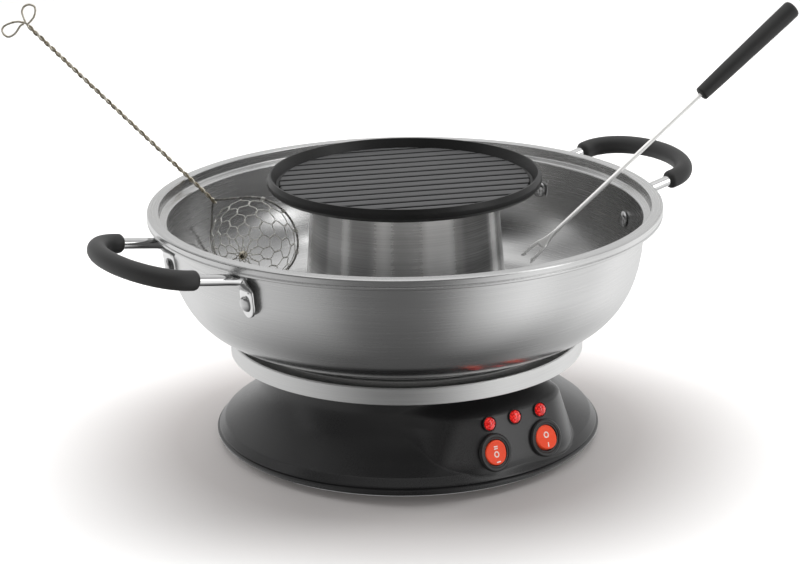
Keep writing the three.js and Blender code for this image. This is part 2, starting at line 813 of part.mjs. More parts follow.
// Inner leads, each from the terminal block's face to the piece that it feeds
function addLeads(terminalMiddle, underTray) {
  const front = terminalBack - terminalWidth / 2 - clearance;
  const behind = (distance) => new THREE.Vector3(0, 0, -switchBodyDepth - distance);
  for (const [name, side] of [['fondue_lead', -1], ['grill_lead', 1]]) {
    const place = podPlace(side * controlPitch, -switchDrop);
    const points = [
      new THREE.Vector3(side * leadSpread, front, terminalMiddle),
      new THREE.Vector3(side * leadSpread, front - leadBend, terminalMiddle),
      new THREE.Vector3(side * controlPitch, 0, terminalMiddle),
      behind(leadBend * 2).applyMatrix4(place),
      behind(clearance).applyMatrix4(place),
    ];
    piece(group, name, tube(smooth(points, 10), leadRadius, wireSides), finish('leadJacket'));
  }
  const top = underTray - thermostatHeight - clearance;
  const sensor = [
    new THREE.Vector3(0, terminalBack, coverWall + terminalHeight + 3 * clearance),
    new THREE.Vector3(0, terminalBack, (terminalMiddle + top) / 2),
    new THREE.Vector3(0, thermostatCircle, top),
  ];
  piece(group, 'thermostat_lead', tube(sensor, leadRadius, wireSides), finish('leadJacket'));
}

// Bowl wall from its floor up to the shoulder: a superellipse, as [radius, height] pairs
function bowlWall(steps) {
  const rise = bowlDepth - bowlShoulderDrop;
  const line = [];
  for (let i = 0; i <= steps; i += 1) {
    const angle = ((1 - i / steps) * Math.PI) / 2;
    const drop = Math.pow(Math.sin(angle), 2 / bowlHeightPower);
    const reach = Math.pow(Math.max(Math.cos(angle), 0), 2 / bowlReachPower);
    line.push([
      bowlFloorRadius + (bowlWallRadius - bowlFloorRadius) * reach,
      bowlBottom + rise * (1 - drop),
    ]);
  }
  return line;
}

const bowlSteps = 6;
const wallLine = bowlWall(bowlSteps);

function wallRadiusAt(height) {
  const table = bowlWall(bowlSteps * bowlSteps).map(([radius, z]) => [z, radius]);
  return lerpTable(table, height);
}

// Frame at a rivet: Z out of the wall, Y up along it
function rivetPlace(side) {
  const height = rimTop - rivetDrop;
  const above = wallRadiusAt(height + rivetHead);
  const below = wallRadiusAt(height - rivetHead);
  const lean = Math.atan2(above - below, 2 * rivetHead);
  const turn = Math.asin((side * handleHalfWidth) / wallRadiusAt(height));
  const place = new THREE.Matrix4().makeRotationZ(turn);
  place.multiply(new THREE.Matrix4().makeTranslation(wallRadiusAt(height), 0, height));
  place.multiply(new THREE.Matrix4().makeRotationY(Math.PI / 2 + lean));
  place.multiply(new THREE.Matrix4().makeRotationZ(Math.PI / 2));
  return place;
}

function rivetHoles(low, high) {
  const holes = [];
  for (const turn of [0, Math.PI]) {
    for (const side of [-1, 1]) {
      const hole = rod(rivetShank + clearance, low, high).applyMatrix4(rivetPlace(side));
      holes.push(hole.rotateZ(turn));
    }
  }
  return holes;
}

const pot = new THREE.Group();
pot.rotation.z = radians(potTurnAngle);
group.add(pot);

function addBowl() {
  const inner = offsetLine(wallLine, sheet);
  const ledgeTop = rimTop - ledgeDrop;
  const profile = [
    [chimneyHoleRadius, bowlBottom], ...wallLine, [ledgeRadius + sheet, ledgeTop - sheet],
    [flangeInner + sheet, rimTop - sheet], [rimRadius - sheet, rimTop - sheet],
    [rimRadius - sheet, rimTop - rimRoll], [rimRadius, rimTop - rimRoll],
    [rimRadius, rimTop - sheet / 2], [rimRadius - sheet / 2, rimTop], [flangeInner, rimTop],
    [ledgeRadius, ledgeTop], [neckInRadius, ledgeTop - ledgeFall], ...inner.slice(1).reverse(),
    [bowlFloorRadius, bowlFloor], [chimneyHoleRadius, bowlFloor],
  ];
  const bowl = cut(turned(profile, largeSides), rivetHoles(-sheet - overrun, overrun));
  piece(pot, 'pot_bowl', bowl, finish('brushedSteel'));
  const disc = turned([
    [discInner, discBottom], [discRadius - sheet, discBottom], [discRadius, discBottom + sheet],
    [discRadius, discBottom + discThickness], [discInner, discBottom + discThickness],
  ], largeSides);
  piece(pot, 'pot_base_disc', disc, finish('polishedSteel'));
}

function addChimney() {
  const flangeTop = chimneyBottom + sheet;
  const chimney = turned([
    [chimneyFootRadius - sheet, chimneyBottom], [chimneyFootRadius + chimneyFlange, chimneyBottom],
    [chimneyFootRadius + chimneyFlange, flangeTop], [chimneyFootRadius, flangeTop + chimneyFillet],
    [chimneyTopRadius, chimneyTop],
    [chimneyTopRadius - sheet, chimneyTop], [chimneyFootRadius - sheet, flangeTop + chimneyFillet],
  ], largeSides);
  piece(pot, 'pot_chimney', chimney, finish('brushedSteel'));
}

// Height of the handle's tube at a distance from the pot's axis
function handleHeight(reach) {
  return rimTop - handleDrop + Math.tan(radians(handleSlopeAngle)) * (reach - handleDatum);
}

// One end of the handle's tube, from the tab up and outwards, on the side given
function handleRoot(side) {
  const place = rivetPlace(side);
  const lift = clearance + tabThickness / 2;
  const onTab = (drop) => new THREE.Vector3(0, rivetDrop - drop, lift).applyMatrix4(place);
  const level = (reach) => new THREE.Vector3(reach, side * handleHalfWidth, handleHeight(reach));
  const start = onTab(tabTopDrop + handleTubeRadius);
  const corner = level(start.x + handleTubeRadius / 2);
  const end = level(start.x + handleTubeRadius * 3);
  return new THREE.QuadraticBezierCurve3(start, corner, end).getPoints(rootSteps);
}

// The handle's bow: half an ellipse between its two straight ends
function handleBow(steps) {
  const points = [];
  for (let i = 0; i <= steps; i += 1) {
    const angle = ((i / steps) - 0.5) * Math.PI;
    const reach = handleStraight + (handleReach - handleStraight) * Math.cos(angle);
    points.push(new THREE.Vector3(reach, handleHalfWidth * Math.sin(angle), handleHeight(reach)));
  }
  return points;
}

function tabPlate() {
  const half = tabWidth / 2;
  const shape = new THREE.Shape();
  const top = rivetDrop - tabTopDrop;
  const bottom = rivetDrop - tabEndDrop + half;
  shape.moveTo(half, bottom);
  shape.lineTo(half, top - half);
  shape.lineTo(handleTubeRadius, top);
  shape.lineTo(-handleTubeRadius, top);
  shape.lineTo(-half, top - half);
  shape.lineTo(-half, bottom);
  shape.absarc(0, bottom, half, Math.PI, 2 * Math.PI, false);
  const depth = tabThickness;
  return new THREE.ExtrudeGeometry(shape, { depth, bevelEnabled: false, curveSegments: 5 })
    .translate(0, 0, clearance);
}

function addHandles() {
  const headBase = 2 * clearance + tabThickness;
  const innerBase = -sheet - rivetInnerGap;
  const [innerReach, innerRise, outerReach, outerRise] = rivetCrownShares;
  const rivet = turned([
    [0, innerBase - rivetInnerHeight], [rivetHead * innerReach, innerBase - rivetInnerHeight * innerRise],
    [rivetHead, innerBase], [rivetShank, innerBase], [rivetShank, headBase], [rivetHead, headBase],
    [rivetHead * outerReach, headBase + rivetHeadHeight * outerRise], [0, headBase + rivetHeadHeight],
  ], smallSides);
  for (const [name, turn] of [['right', 0], ['left', Math.PI]]) {
    const holder = new THREE.Group();
    holder.rotation.z = turn;
    pot.add(holder);
    const near = handleRoot(-1);
    const far = handleRoot(1).reverse();
    const gripLine = (side) => new THREE.Vector3(gripStart, side * handleHalfWidth, handleHeight(gripStart));
    const middle = [gripLine(-1), ...handleBow(bowSteps), gripLine(1)];
    const frame = tube([...near, ...middle, ...far], handleTubeRadius);
    const tabs = [-1, 1].map((side) => tabPlate().applyMatrix4(rivetPlace(side)));
    const holes = [-1, 1].map((side) => rod(rivetShank + clearance, -overrun, headBase + overrun)
      .applyMatrix4(rivetPlace(side)));
    const clipped = cut(join(frame, tabs), [...holes, wallCutter()]);
    piece(holder, `${name}_handle_frame`, clipped, finish('polishedSteel'));
    piece(holder, `${name}_handle_grip`, tube(middle, gripRadius, tubeSides, gripBore), finish('blackGrip'));
    [-1, 1].forEach((side) => {
      const which = side < 0 ? 'a' : 'b';
      const mesh = piece(holder, `${name}_rivet_${which}`, rivet.clone().applyMatrix4(rivetPlace(side)),
        finish('polishedSteel'));
      mesh.updateMatrix();
    });
  }
}

// The space that the bowl's wall and its clearance take, so that a tube's end stops short of it
function wallCutter() {
  const line = offsetLine(wallLine, -clearance).slice(wallLine.length / 2);
  const top = line[line.length - 1];
  return turned([[0, line[0][1]], ...line, [0, top[1]]], largeSides);
}

function addGrillPlate() {
  const floor = plateBottom + plateBase;
  const spigotInner = spigotRadius - spigotWall;
  const shoulder = plateBottom + plateShoulder;
  const corner = plateCrestWidth / 2;
  const crest = plateRadius - plateCrestInset;
  const profile = [
    [0, plateBottom], [spigotInner, plateBottom], [spigotInner, plateBottom - spigotDepth],
    [spigotRadius, plateBottom - spigotDepth], [spigotRadius, plateBottom], [plateUnderRadius, plateBottom],
    [plateShoulderRadius, shoulder], [plateRadius, plateBottom + plateBelly],
    [plateRadius - plateRimRound, plateTop - plateRimDrop], [crest, plateTop],
    [crest - plateCrestWidth, plateTop], [plateRadius - plateRimWidth, floor],
    [ribFieldRadius + corner, floor], [ribFieldRadius, ribTop], [0, ribTop],
  ];
  const grooves = [];
  for (let i = 0; i < grooveCount; i += 1) {
    const offset = (i - (grooveCount - 1) / 2) * groovePitch;
    const groove = block(2 * ribFieldRadius + overrun, grooveWidth, ribHeight + overrun);
    groove.translate(0, offset, floor + (ribHeight + overrun) / 2);
    grooves.push(groove.rotateZ(radians(grooveAngle)));
  }
  piece(group, 'grill_plate', cut(turned(profile, largeSides), grooves), finish('blackCoating'));
}

// A group whose X axis leaves the flange's inner edge along a utensil, towards its handle. The utensil's
// length below that edge and the drop of its end give its rise.
function leaning([turn, heading, roll], drop, below, radius) {
  const holder = new THREE.Group();
  const angle = radians(turn);
  const rise = Math.asin(drop / below);
  const lift = (radius + clearance) / Math.cos(rise);
  const reach = flangeInner * Math.cos(Math.PI / largeSides);
  holder.position.set(reach * Math.cos(angle), reach * Math.sin(angle), rimTop + lift);
  holder.rotation.order = 'ZYX';
  holder.rotation.set(radians(roll), -rise, radians(heading));
  group.add(holder);
  return holder;
}

function forkHead() {
  const half = forkHeadWidth / 2;
  const inner = half - tineWidth;
  const crotch = tineLength;
  const shape = new THREE.Shape();
  shape.moveTo(forkHeadLength + forkRodRadius, forkRodRadius);
  shape.lineTo(crotch, half);
  shape.lineTo(tineWidth, half);
  shape.lineTo(0, half - tineWidth / 2);
  shape.lineTo(tineWidth, inner - barb);
  shape.lineTo(tineWidth + barb, inner);
  shape.lineTo(crotch - inner / 2, inner);
  shape.quadraticCurveTo(crotch, inner, crotch, 0);
  shape.quadraticCurveTo(crotch, -inner, crotch - inner / 2, -inner);
  shape.lineTo(tineWidth + barb, -inner);
  shape.lineTo(tineWidth, barb - inner);
  shape.lineTo(0, tineWidth / 2 - half);
  shape.lineTo(tineWidth, -half);
  shape.lineTo(crotch, -half);
  shape.lineTo(forkHeadLength + forkRodRadius, -forkRodRadius);
  shape.closePath();
  return new THREE.ExtrudeGeometry(shape, { depth: forkThickness, bevelEnabled: false, curveSegments: 4 })
    .translate(-forkBelow, 0, -forkThickness / 2);
}

function addFork() {
  const angles = [forkTurnAngle, forkHeadingAngle, forkRollAngle];
  const holder = leaning(angles, forkDrop, forkBelow, forkRodRadius);
  const handleStart = forkLength - forkHandleLength - forkBelow;
  const shaft = rod(forkRodRadius, forkHeadLength - forkBelow, handleStart + forkTang, tubeSides)
    .rotateY(Math.PI / 2);
  piece(holder, 'fork_shaft', join(shaft, [forkHead()]), finish('polishedSteel'));
  const end = forkLength - forkBelow;
  const bore = forkRodRadius + clearance;
  const corner = forkRodRadius / 2;
  const handle = turned([
    [bore, handleStart], [forkHandleStartRadius - corner, handleStart],
    [forkHandleStartRadius, handleStart + corner], [forkHandleEndRadius, end - 2 * corner],
    [forkHandleEndRadius - 2 * corner, end], [0, end], [0, handleStart + forkTang + clearance],
    [bore, handleStart + forkTang + clearance],
  ], smallSides);
  piece(holder, 'fork_handle', handle.rotateY(Math.PI / 2), finish('blackGrip'));
}

// The skimmer's one wire: an end loop, a twisted strand, the ring, the other strand and loop
function skimmerWirePath() {
  const helix = skimmerWire + strandGap / 2;
  const start = skimmerBelow * -1;
  const turns = Math.round((skimmerHandleLength - twistPitch) / twistPitch);
  const stepsPerTurn = 5;
  const endLoopSteps = 8;
  const points = [];
  const end = start + turns * twistPitch;
  for (let i = endLoopSteps; i >= 1; i -= 1) points.push(endLoopPoint(end, i / endLoopSteps, 1));
  for (let i = turns * stepsPerTurn; i >= 0; i -= 1) {
    const angle = (i / stepsPerTurn) * 2 * Math.PI;
    const x = start + (i / stepsPerTurn) * twistPitch;
    points.push(new THREE.Vector3(x, helix * Math.cos(angle), helix * Math.sin(angle)));
  }
  const opening = Math.acos(skimmerRingRadius / skimmerRingReach);
  const ringSteps = 20;
  for (let i = 0; i <= ringSteps; i += 1) {
    const angle = opening + (i / ringSteps) * (2 * Math.PI - 2 * opening);
    points.push(new THREE.Vector3(
      start - skimmerRingReach + skimmerRingRadius * Math.cos(angle),
      skimmerRingRadius * Math.sin(angle),
      0,
    ));
  }
  for (let i = 0; i <= turns * stepsPerTurn; i += 1) {
    const angle = Math.PI + (i / stepsPerTurn) * 2 * Math.PI;
    const x = start + (i / stepsPerTurn) * twistPitch;
    points.push(new THREE.Vector3(x, helix * Math.cos(angle), helix * Math.sin(angle)));
  }
  for (let i = 1; i <= endLoopSteps; i += 1) points.push(endLoopPoint(end, i / endLoopSteps, -1));
  return points;
}

// A point on an open end loop that leaves the twist sideways and curls back
function endLoopPoint(end, share, side) {
  const helix = skimmerWire + strandGap / 2;
  const aim = side * radians(endLoopAngle);
  const centre = endLoopRadius + twistPitch * endLoopSetShare;
  const angle = aim + Math.PI - side * share * endLoopTurnShare * 2 * Math.PI;
  return new THREE.Vector3(
    end + centre * Math.cos(aim) + endLoopRadius * Math.cos(angle),
    side * helix + centre * Math.sin(aim) + endLoopRadius * Math.sin(angle),
    0,
  );
}

// Least distance between far stretches of the wire, less its thickness
function leastGap(points) {
  let least = Infinity;
  for (let i = 0; i < points.length; i += 1) {
    for (let j = i + 8; j < points.length; j += 1) {
      least = Math.min(least, points[i].distanceTo(points[j]) - 2 * skimmerWire);
    }
  }
  return least;
}

// A point of the net on one of its two faces: a half ellipsoid that hangs from the ring
function netPoint(angle, share, depth) {
  const turn = share * (Math.PI / 2);
  const top = skimmerRingRadius - skimmerWire - clearance - netWire / 2;
  const radius = Math.max(top * Math.cos(turn), netPoleRadius) - depth;
  return [radius * Math.cos(angle), radius * Math.sin(angle), (netDepth - depth) * Math.sin(turn)];
}

// Hexagonal netting: every cell is a rim of wire round a gap, on an outer and an inner face
function netGeometry() {
  const positions = [];
  const index = [];
  const levels = netRows + 1;
  const add = (point) => positions.push(...point) / 3 - 1;
  const shareAt = (row, zig) => Math.min((row + 1 / 2 + zig * netZigShare) / levels, netLastShare);
  const nodes = new Map();
  const node = (row, column) => {
    const wrapped = (column + 2 * netColumns) % (2 * netColumns);
    const key = `${row}:${wrapped}`;
    if (!nodes.has(key)) {
      const angle = (wrapped / netColumns) * Math.PI;
      let share = shareAt(row, (row + wrapped) % 2 === 0 ? -1 : 1);
      if (row < 0) share = 0;
      if (row >= netRows) share = netEndShare;
      const outer = netPoint(angle, share, 0);
      const inner = netPoint(angle, share, netWire);
      nodes.set(key, { outer, inner, outerId: add(outer), innerId: add(inner) });
    }
    return nodes.get(key);
  };
  const pole = (key, height) => {
    if (!nodes.has(key)) nodes.set(key, add([0, 0, height]));
    return nodes.get(key);
  };
  const quad = (a, b, c, d) => index.push(a, b, c, a, c, d);
  const rim = (corners) => {
    const middleOf = (face) => [0, 1, 2].map(
      (axis) => corners.reduce((sum, corner) => sum + corner[face][axis], 0) / corners.length,
    );
    const shrink = (face) => {
      const middle = new THREE.Vector3(...middleOf(face));
      return corners.map((corner, i) => {
        const next = corners[(i + 1) % corners.length];
        const before = corners[(i + corners.length - 1) % corners.length];
        const here = new THREE.Vector3(...corner[face]);
        const reach = Math.min(
          edgeDistance(middle, here, new THREE.Vector3(...next[face])),
          edgeDistance(middle, here, new THREE.Vector3(...before[face])),
        );
        const share = Math.min(netWire / 2 / reach, netFillShare);
        return add(here.lerp(middle, share).toArray());
      });
    };
    const outerIn = shrink('outer');
    const innerIn = shrink('inner');
    corners.forEach((corner, i) => {
      const j = (i + 1) % corners.length;
      const next = corners[j];
      quad(corner.outerId, next.outerId, outerIn[j], outerIn[i]);
      quad(next.innerId, corner.innerId, innerIn[i], innerIn[j]);
      quad(outerIn[i], outerIn[j], innerIn[j], innerIn[i]);
    });
  };
  for (let row = -1; row < netRows; row += 1) {
    for (let column = 0; column < 2 * netColumns; column += 1) {
      if ((row + column) % 2 === 0) continue;
      const above = row < 0
        ? [node(-1, column + 2), node(-1, column)]
        : [node(row, column + 2), node(row, column + 1), node(row, column)];
      const below = row === netRows - 1
        ? [node(netRows, column), node(netRows, column + 2)]
        : [node(row + 1, column), node(row + 1, column + 1), node(row + 1, column + 2)];
      rim([...above, ...below]);
      if (row < 0) {
        quad(above[1].outerId, above[0].outerId, above[0].innerId, above[1].innerId);
      }
      if (row === netRows - 1) {
        index.push(below[1].outerId, below[0].outerId, pole('outer', netDepth));
        index.push(below[0].innerId, below[1].innerId, pole('inner', netDepth - netWire));
      }
    }
  }
  const geometry = new THREE.BufferGeometry();
  geometry.setAttribute('position', new THREE.Float32BufferAttribute(positions, 3));
  geometry.setIndex(index);
  return geometry;
}

function edgeDistance(point, start, end) {
  const along = end.clone().sub(start).normalize();
  const offset = point.clone().sub(start);
  return offset.addScaledVector(along, -offset.dot(along)).length();
}

function addSkimmer() {
  const lean = skimmerWire * 2 + strandGap / 2;
  const angles = [skimmerTurnAngle, skimmerHeadingAngle, skimmerRollAngle];
  const holder = leaning(angles, skimmerDrop, skimmerReach, lean);
  const path = skimmerWirePath();
  console.log('least gap of the skimmer wire to itself, mm:', leastGap(path).toFixed(2));
  const wire = tube(path, skimmerWire, wireSides);
  piece(holder, 'skimmer_frame', wire, finish('tinnedWire'));
  const net = piece(holder, 'skimmer_net', netGeometry(), finish('tinnedWire'));
  net.position.x = -skimmerBelow - skimmerRingReach;
}

addHousing();
addCover();
addFeetAndScrews();
addHeater();
addColumn();
addControls();
addElectrics();
addBowl();
addChimney();
addHandles();
addGrillPlate();
addFork();
addSkimmer();

export default group;
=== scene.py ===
# Electric fondue and grill set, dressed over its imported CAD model.
# Shapes are worked out in millimetres in the model's own frame and put into
# meshes in metres. The pod faces -Y and the pot's handles lie near the X axis.
import math

import bmesh
import bpy
import numpy as np
from mathutils import Matrix, Vector


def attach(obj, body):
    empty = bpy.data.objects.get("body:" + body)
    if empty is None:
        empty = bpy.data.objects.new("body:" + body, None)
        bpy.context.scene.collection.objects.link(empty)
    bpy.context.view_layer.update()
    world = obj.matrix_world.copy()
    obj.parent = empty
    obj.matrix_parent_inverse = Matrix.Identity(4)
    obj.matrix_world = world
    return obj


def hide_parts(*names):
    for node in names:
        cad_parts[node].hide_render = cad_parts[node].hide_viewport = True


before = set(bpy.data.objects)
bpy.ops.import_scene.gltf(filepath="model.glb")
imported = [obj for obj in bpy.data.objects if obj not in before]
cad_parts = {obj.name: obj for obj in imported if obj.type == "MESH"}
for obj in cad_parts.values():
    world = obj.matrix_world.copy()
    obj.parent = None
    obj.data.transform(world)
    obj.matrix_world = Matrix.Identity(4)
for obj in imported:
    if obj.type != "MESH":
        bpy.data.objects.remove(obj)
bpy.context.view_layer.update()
mm = 0.001
print("frame loaded:", len(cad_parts), "nodes")


# Camera, lights and floor

view = {
    "place": (-899.96, -1238.69, 597.04),  # mm
    "yaw": -0.0025,
    "pitch": math.radians(17.95),
    "roll": -0.015,
    "turn": math.radians(-36),  # from the camera's own frame to the object's
    "focalPixels": 2481.67,
    "imageWidth": 800,
    "sensor": 36.0,
    "farClip": 50,  # m
}


def turnZ(vector, angle):
    # x' = x cos a - y sin a, y' = x sin a + y cos a
    c, s = math.cos(angle), math.sin(angle)
    return Vector((vector[0] * c - vector[1] * s, vector[0] * s + vector[1] * c, vector[2]))


def cameraAxes():
    # forward from yaw and pitch, then right and up turned by the roll
    yaw, pitch, roll = view["yaw"], view["pitch"], view["roll"]
    level = math.cos(pitch)
    forward = Vector((math.sin(yaw) * level, math.cos(yaw) * level, -math.sin(pitch)))
    right = Vector((math.cos(yaw), -math.sin(yaw), 0))
    up = right.cross(forward)
    across = right * math.cos(roll) + up * math.sin(roll)
    rise = up * math.cos(roll) - right * math.sin(roll)
    return [turnZ(axis, view["turn"]) for axis in (across, rise, forward)]


def linked(name, data):
    made = bpy.data.objects.new(name, data)
    bpy.context.scene.collection.objects.link(made)
    return made


cameraAcross, cameraRise, cameraForward = cameraAxes()
cameraData = bpy.data.cameras.new("camera")
cameraData.sensor_width = view["sensor"]
cameraData.lens = view["focalPixels"] * view["sensor"] / view["imageWidth"]
cameraData.clip_end = view["farClip"]
camera = linked("camera", cameraData)
cameraTurn = Matrix((cameraAcross, cameraRise, -cameraForward)).transposed().to_4x4()
camera.matrix_world = Matrix.Translation(Vector(view["place"]) * mm) @ cameraTurn
bpy.context.scene.camera = camera


def grey(level, warm=0.0):
    return (level, level, level - warm)


studio = {
    "floorHeight": -1.6,
    "floorSize": 9000,
    # the seen colour near the object is darker than the far one: a painted shadow
    "floorSeenPaintedShadow": (0.55, 0.528, 0.522),
    "floorFar": grey(0.95),
    "floorPaintedShadowFade": (0.15, 0.28),  # radii in m between which the painted shadow in the seen colour fades into the far one
    "floorBounce": (0.45, 0.44, 0.43),
    "worldLight": 0.3,
    # azimuth in degrees to the right of the camera's side, and the level that mirrors see there
    "lowRing": [
        (-180, 0.85), (-140, 1.05), (-110, 0.92), (-80, 0.75), (-56, 0.6), (-44, 0.5), (-36, 0.33),
        (-28, 0.16), (-10, 0.135), (14, 0.135), (22, 0.22), (30, 0.52), (40, 0.8), (52, 1.0), (62, 1.15),
        (76, 0.9), (96, 0.9), (115, 1.15), (180, 0.85),
    ],
    "highRing": [
        (-180, 0.75), (-140, 0.75), (-118, 0.5), (-98, 0.24), (-91, 0.9), (-87, 0.9), (-80, 0.2), (-45, 0.16),
        (-28, 0.14), (20, 0.14), (44, 0.25), (55, 0.7), (61, 2.9), (70, 2.9), (75, 0.5), (96, 0.5),
        (130, 0.75), (180, 0.75),
    ],
    # sines of the mirrored direction's height between which one level turns into the next
    "ringBlend": (-0.02, 0.14),
    "roofBlend": (0.75, 0.93),
    "tableBlend": (-0.95, -0.5),
    "roof": grey(0.95),
    "table": grey(0.1),
    "lamps": [
        # name, place and aim in mm, width and height in m, watts, colour
        ("overheadBox", (330, 450, 1550), (0, 0, 60), 1.9, 1.9, 30, (1.0, 0.99, 0.98)),
        ("leftBox", (-840, 1245, 620), (0, 0, 80), 0.6, 1.2, 18, (1.0, 1.0, 1.0)),
        ("rightBox", (1440, -414, 620), (0, 0, 80), 0.6, 1.2, 18, (1.0, 1.0, 1.0)),
        ("frontFill", (-820, -1130, 330), (0, 0, 70), 1.3, 0.35, 9, (1.0, 0.98, 0.96)),
    ],
}


def addLamp(name, place, aim, width, height, watts, color):
    data = bpy.data.lights.new(name, "AREA")
    data.shape = "RECTANGLE"
    data.size, data.size_y = width, height
    data.energy, data.color = watts, color
    lamp = linked(name, data)
    place, aim = Vector(place) * mm, Vector(aim) * mm
    facing = (aim - place).to_track_quat("-Z", "Y").to_matrix().to_4x4()
    lamp.matrix_world = Matrix.Translation(place) @ facing
    lamp.visible_glossy = False


def addNode(tree, kind, **values):
    made = tree.nodes.new(kind)
    for key, value in values.items():
        if hasattr(made, key):
            setattr(made, key, value)
        else:
            made.inputs[key.replace("_", " ")].default_value = value
    return made


def feed(tree, sockets, values):
    # a number or a colour is set, and another node's socket is linked
    for socket, value in zip(sockets, values):
        if isinstance(value, (int, float)):
            socket.default_value = value
        elif isinstance(value, tuple):
            socket.default_value = (*value, 1)
        else:
            tree.links.new(value, socket)


def addMath(tree, operation, first, second=0.0):
    made = addNode(tree, "ShaderNodeMath", operation=operation)
    feed(tree, made.inputs, (first, second))
    return made.outputs[0]


def scaled(tree, value, factor):
    return addMath(tree, "MULTIPLY", value, factor)


def weighted(tree, x, y, a, b):
    # a x + b y
    return addMath(tree, "ADD", scaled(tree, x, a), scaled(tree, y, b))


def mapped(tree, value, low, high, fromLow=0.0, fromHigh=1.0):
    # the range fromLow to fromHigh becomes low to high
    made = tree.nodes.new("ShaderNodeMapRange")
    sockets = [made.inputs[key] for key in ("Value", "From Min", "From Max", "To Min", "To Max")]
    feed(tree, sockets, (value, fromLow, fromHigh, low, high))
    return made.outputs["Result"]


def rising(tree, value, low, high):
    # 0 up to low and 1 from high on
    return mapped(tree, value, 0.0, 1.0, low, high)


def falling(tree, value, low, high):
    # 1 up to low and 0 from high on
    return mapped(tree, value, 1.0, 0.0, low, high)


def mixedColor(tree, share, first, second):
    mix = addNode(tree, "ShaderNodeMix", data_type="RGBA")
    feed(tree, (mix.inputs[0], mix.inputs[6], mix.inputs[7]), (share, first, second))
    return mix.outputs[2]


def mixedShader(tree, share, first, second):
    mix = tree.nodes.new("ShaderNodeMixShader")
    feed(tree, mix.inputs, (share, first, second))
    return mix.outputs[0]


def coordsOf(tree, kind="Object"):
    coords = tree.nodes.new("ShaderNodeTexCoord")
    split = tree.nodes.new("ShaderNodeSeparateXYZ")
    tree.links.new(coords.outputs[kind], split.inputs[0])
    return coords.outputs[kind], split.outputs["X"], split.outputs["Y"], split.outputs["Z"]


def azimuthRamp(tree, across, along, table, way="LINEAR"):
    # the table's level at the azimuth atan2(across, along)
    share = rising(tree, addMath(tree, "ARCTAN2", across, along), -math.pi, math.pi)
    ramp = tree.nodes.new("ShaderNodeValToRGB")
    ramp.color_ramp.interpolation = way
    tree.links.new(share, ramp.inputs[0])
    elements = ramp.color_ramp.elements
    while len(elements) < len(table):
        elements.new(0.5)
    for element, (degrees, level) in zip(elements, table):
        element.position = (degrees + 180) / 360
        element.color = (*grey(level), 1)
    return ramp.outputs[0]


def makeWorld():
    # white to the camera; mirrors see a tent with one ring of levels low down and one higher up, a
    # plain roof and a dim table
    world = bpy.data.worlds.new("studioTent")
    bpy.context.scene.world = world
    world.use_nodes = True
    tree = world.node_tree
    tree.nodes.clear()
    out = tree.nodes.new("ShaderNodeOutputWorld")
    white = (1, 1, 1, 1)
    seen = addNode(tree, "ShaderNodeBackground", Color=white, Strength=1.0)
    lit = addNode(tree, "ShaderNodeBackground", Color=white, Strength=studio["worldLight"])
    shown = addNode(tree, "ShaderNodeBackground", Strength=1.0)
    coords, x, y, height = coordsOf(tree, "Generated")
    near = Vector((-cameraForward.x, -cameraForward.y)).normalized()
    side = Vector((-near.y, near.x))
    across, along = (weighted(tree, x, y, axis.x, axis.y) for axis in (side, near))
    low, high = (azimuthRamp(tree, across, along, studio[name]) for name in ("lowRing", "highRing"))
    color = mixedColor(tree, rising(tree, height, *studio["ringBlend"]), low, high)
    color = mixedColor(tree, rising(tree, height, *studio["roofBlend"]), color, studio["roof"])
    color = mixedColor(tree, falling(tree, height, *studio["tableBlend"]), color, studio["table"])
    tree.links.new(color, shown.inputs["Color"])
    path = tree.nodes.new("ShaderNodeLightPath").outputs
    mirrored = addMath(tree, "MAXIMUM", path["Is Glossy Ray"], path["Is Transmission Ray"])
    others = mixedShader(tree, mirrored, lit.outputs[0], shown.outputs[0])
    tree.links.new(mixedShader(tree, path["Is Camera Ray"], others, seen.outputs[0]), out.inputs[0])


def radiusOf(tree, x, y):
    # r = sqrt(x^2 + y^2)
    return addMath(tree, "SQRT", weighted(tree, x, y, x, y))


def makeFloor():
    # diffuse: to the camera faintly warm, with a painted shadow that darkens it near the object and
    # fades out with its radius; dimmer to the light that it throws back
    half = studio["floorSize"] / 2
    mesh = bpy.data.meshes.new("floor")
    corners = np.array([(-1, -1), (1, -1), (1, 1), (-1, 1)]) * half
    points = np.column_stack([corners, np.full(4, studio["floorHeight"])]) * mm
    mesh.from_pydata(points.tolist(), [], [(0, 1, 2, 3)])
    floor = linked("floor", mesh)
    floor.visible_glossy = False
    material = bpy.data.materials.new("paleFloor")
    material.use_nodes = True
    tree = material.node_tree
    tree.nodes.clear()
    out = tree.nodes.new("ShaderNodeOutputMaterial")
    matte = tree.nodes.new("ShaderNodeBsdfDiffuse")
    coords, x, y, z = coordsOf(tree)
    # painted shadow: the seen colour darkens towards the object
    far = rising(tree, radiusOf(tree, x, y), *studio["floorPaintedShadowFade"])
    seen = mixedColor(tree, far, studio["floorSeenPaintedShadow"], studio["floorFar"])
    fromCamera = tree.nodes.new("ShaderNodeLightPath").outputs["Is Camera Ray"]
    color = mixedColor(tree, fromCamera, studio["floorBounce"], seen)
    tree.links.new(color, matte.inputs["Color"])
    tree.links.new(matte.outputs[0], out.inputs[0])
    mesh.materials.append(material)


for lamp in studio["lamps"]:
    addLamp(*lamp)
makeWorld()
makeFloor()
bpy.context.scene.view_settings.view_transform = "Standard"
print("camera, lights and floor made")


# Shapes

cornerShare = 0.42  # the most of its shorter side that a rounded corner takes
holdReach = 0.25  # how far beyond a rounding its holding points lie
holdShare = 0.1  # the most of the shorter side that lies between them
leastStep = 1e-5
weldReach = 1e-7  # m


def unit(vectors):
    return vectors / np.maximum(np.linalg.norm(vectors, axis=-1, keepdims=True), 1e-12)


def eased(t):
    # 3 t^2 - 2 t^3
    return t * t * (3 - 2 * t)


